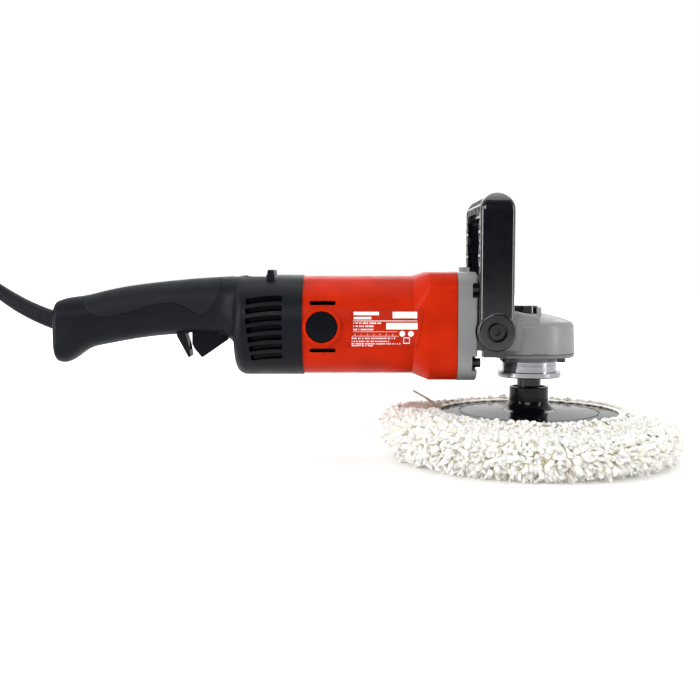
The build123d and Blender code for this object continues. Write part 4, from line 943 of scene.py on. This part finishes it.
class Print:
    """Raised print on the label, gathered into one mesh. Places are shares of the label."""

    def __init__(self):
        self.points = []
        self.faces = []

    def place(self, across, up):
        """Shares of the label as (x, z) in metres."""
        return label_low.x + across * label_width, label_low.z + up * label_height

    def slab(self, places, rings):
        """A closed slab on the label: its face is rings of places, and its rim is walled."""
        start = len(self.points)
        back = start + len(places)
        for layer in (INK_PROUD, -INK_SUNK):
            for x, z in places:
                hit, normal = on_label(x, z)
                self.points.append(hit + normal * layer)
        edges = set()
        for ring in rings:
            self.faces.append(tuple(start + corner for corner in ring))
            self.faces.append(tuple(back + corner for corner in reversed(ring)))
            edges.update(zip(ring, ring[1:] + ring[:1]))
        for a, b in sorted(edges):
            if (b, a) not in edges:
                self.faces.append((start + b, start + a, back + a, back + b))

    def bar(self, left, right, low, high):
        x0, z0 = self.place(left, low)
        x1, z1 = self.place(right, high)
        columns = max(int((x1 - x0) / INK_STEP_X), 1)
        rows = max(int((z1 - z0) / INK_STEP_Z), 1)
        places = [(x0 + (x1 - x0) * column / columns, z0 + (z1 - z0) * row / rows)
                  for row in range(rows + 1) for column in range(columns + 1)]
        wide = columns + 1
        self.slab(places, [(a, a + 1, a + wide + 1, a + wide)
                           for row in range(rows)
                           for a in range(row * wide, row * wide + columns)])

    def words(self, left, right, low, high, seed):
        """A row of small bars of uneven width, where the real label has a line of print."""
        chance = random.Random(seed)
        place = left
        while place < right - 0.01:
            width = chance.uniform(0.006, 0.016)
            self.bar(place, min(place + width, right), low, high)
            place += width + chance.choice((0.007, 0.007, 0.007, 0.02))

    def figure(self, text, left, low):
        """A numeral laid on the label."""
        curve = bpy.data.curves.new("numeral", "FONT")
        curve.body = text
        curve.size = NUMERAL
        curve.resolution_u = 2
        holder = bpy.data.objects.new("numeral", curve)
        flat = bpy.data.meshes.new_from_object(holder)
        bpy.data.objects.remove(holder)
        x0, z0 = self.place(left, low)
        self.slab([(x0 + vertex.co.x, z0 + vertex.co.y) for vertex in flat.vertices],
                  [tuple(polygon.vertices) for polygon in flat.polygons])
        bpy.data.meshes.remove(flat)

    def disc(self, across, up):
        x0, z0 = self.place(across, up)
        angles = [2 * math.pi * side / DISC_SIDES for side in range(DISC_SIDES)]
        self.slab([(x0 + DISC_R * math.cos(angle), z0 + DISC_R * math.sin(angle))
                   for angle in angles], [tuple(range(DISC_SIDES))])


ink = Print()
ink.bar(0.09, 0.42, 0.84, 0.925)
ink.bar(0.09, 0.32, 0.735, 0.795)
ink.bar(0.60, 0.92, 0.76, 0.925)
ink.bar(0.077, 0.92, 0.685, 0.70)
ink.bar(0.516, 0.925, 0.475, 0.64)
for line, (right, low) in enumerate(((0.445, 0.615), (0.36, 0.535), (0.37, 0.45))):
    ink.words(0.085, right, low, low + 0.040, 10 + line)
ink.bar(0.077, 0.658, 0.410, 0.417)
for number in range(7):
    ink.figure(str(number), 0.10 + 0.082 * number, 0.325)
ink.bar(0.065, 0.68, 0.295, 0.302)
for line, (right, low) in enumerate(((0.64, 0.225), (0.56, 0.145), (0.71, 0.080),
                                     (0.34, 0.028))):
    ink.words(0.065, right, low, low + 0.030, 20 + line)
ink.disc(0.726, 0.36)
ink.disc(0.839, 0.36)
for left, right, low, high in ((0.742, 0.826, 0.10, 0.118), (0.742, 0.826, 0.245, 0.263),
                               (0.742, 0.750, 0.10, 0.263), (0.818, 0.826, 0.10, 0.263)):
    ink.bar(left, right, low, high)
label_print = new_piece("label_print", ink.points, ink.faces, label_ink, "tool", smooth=False)

# A moulded bead frames the label: places across and up the tool, in millimetres.
BEAD_R = 0.42 * MM
BEAD_SIDES = 8
BEAD_STEPS = 120
BEAD_LINE = [(-155.0, 133.0), (-128.0, 133.0), (-101.2, 133.0), (-98.7, 132.0), (-98.0, 129.8),
             (-99.8, 117.0), (-101.9, 104.4), (-103.2, 102.0), (-105.6, 101.0), (-132.0, 101.0),
             (-159.2, 101.0), (-161.0, 102.1), (-161.2, 104.4), (-158.4, 110.0), (-157.1, 116.0),
             (-157.7, 123.0), (-159.1, 129.3), (-158.2, 132.1), (-155.0, 133.0)]
bead_path = []
bead_out = []
for x, z in smooth_line([np.array(corner) for corner in BEAD_LINE], BEAD_STEPS)[:-1]:
    hit, normal = on_label(x * MM, z * MM)
    bead_path.append(hit)
    bead_out.append(normal)
bead_angles = [2 * math.pi * side / BEAD_SIDES for side in range(BEAD_SIDES)]
bead_section = [(BEAD_R * math.cos(angle), BEAD_R * math.sin(angle)) for angle in bead_angles]
points, faces = swept(bead_path, bead_out, bead_section, closed=True)
label_bead = new_piece("label_bead", points, faces, red_plastic, "tool")

# ---- floor and light ----------------------------------------------------------------------
FLOOR_R = 6.0              # metres
FLOOR_SIDES = 48
floor_finish = Finish("floor", (0.90, 0.90, 0.90), 0.75)
floor_finish.shader.inputs["Emission Color"].default_value = (1, 1, 1, 1)
from_middle = floor_finish.add("VectorMath")
from_middle.operation = "LENGTH"
floor_finish.link(floor_finish.place(), from_middle.inputs[0])
glow = floor_finish.ranged(from_middle.outputs["Value"], 0.12, 0.95, 0.55, 1.7)
# The part in front of the polisher is a dull light source, so glossy black stays black.
floor_parts = floor_finish.add("SeparateXYZ")
floor_finish.link(floor_finish.place(), floor_parts.inputs[0])
nearness = floor_finish.ranged(floor_parts.outputs["Y"], 0.04, 1.0, -1.0, -0.55)
dulled = floor_finish.add("Math")
dulled.operation = "MULTIPLY"
floor_finish.link(glow, dulled.inputs[0])
floor_finish.link(nearness, dulled.inputs[1])
floor_choice = floor_finish.add("Mix")
floor_finish.link(floor_finish.add("LightPath").outputs["Is Camera Ray"],
                  floor_choice.inputs["Factor"])
floor_finish.link(dulled.outputs["Value"], floor_choice.inputs["A"])
floor_finish.link(glow, floor_choice.inputs["B"])
floor_finish.link(floor_choice.outputs["Result"], floor_finish.shader.inputs["Emission Strength"])
floor_mesh = bpy.data.meshes.new("floor")
floor_angles = [2 * math.pi * side / FLOOR_SIDES for side in range(FLOOR_SIDES)]
floor_mesh.from_pydata([(FLOOR_R * math.cos(angle), FLOOR_R * math.sin(angle), 0)
                        for angle in floor_angles], [], [tuple(range(FLOOR_SIDES))])
floor_mesh.materials.append(floor_finish.material)
floor = bpy.data.objects.new("floor", floor_mesh)
scene.collection.objects.link(floor)

# The studio: white where it is seen, and dimmer as a light, most of all from the front, so
# that black plastic stays black.
world = bpy.data.worlds.new("studio")
scene.world = world
world.use_nodes = True
sky = world.node_tree
background = sky.nodes["Background"]
background.inputs["Color"].default_value = (1, 1, 1, 1)
parts = sky.nodes.new("ShaderNodeSeparateXYZ")
sky.links.new(sky.nodes.new("ShaderNodeTexCoord").outputs["Generated"], parts.inputs[0])
from_front = sky.nodes.new("ShaderNodeMapRange")
for socket, value in (("From Min", -0.7), ("From Max", 0.3), ("To Min", 0.05), ("To Max", 1.0)):
    from_front.inputs[socket].default_value = value
sky.links.new(parts.outputs["Y"], from_front.inputs["Value"])
seen = sky.nodes.new("ShaderNodeMix")
seen.inputs["B"].default_value = 1.0
sky.links.new(sky.nodes.new("ShaderNodeLightPath").outputs["Is Camera Ray"], seen.inputs["Factor"])
sky.links.new(from_front.outputs["Result"], seen.inputs["A"])
sky.links.new(seen.outputs["Result"], background.inputs["Strength"])


def softbox(name, place, width, height, watts):
    """A rectangular area light that points at the polisher's middle."""
    data = bpy.data.lights.new(name, "AREA")
    data.shape = "RECTANGLE"
    data.size = width
    data.size_y = height
    data.energy = watts
    light = bpy.data.objects.new(name, data)
    light.location = place
    light.rotation_mode = "QUATERNION"
    light.rotation_quaternion = (MIDDLE - Vector(place)).to_track_quat("-Z", "Y")
    light.visible_camera = False
    scene.collection.objects.link(light)


MIDDLE = Vector((-0.17, 0.0, 0.08))
softbox("key", (-0.5, -1.7, 1.1), 1.0, 0.6, 13)
softbox("top", (-0.1, 0.1, 1.8), 1.8, 1.2, 12)
softbox("left_strip", (-1.6, -0.75, 0.45), 0.30, 1.4, 22)
softbox("right_strip", (1.3, -0.75, 0.45), 0.30, 1.4, 12)
softbox("back", (0.0, 1.6, 1.0), 1.6, 0.8, 8)
scene.view_settings.view_transform = "Standard"

# ---- update the scene ---------------------------------------------------------------------
bpy.context.view_layer.update()
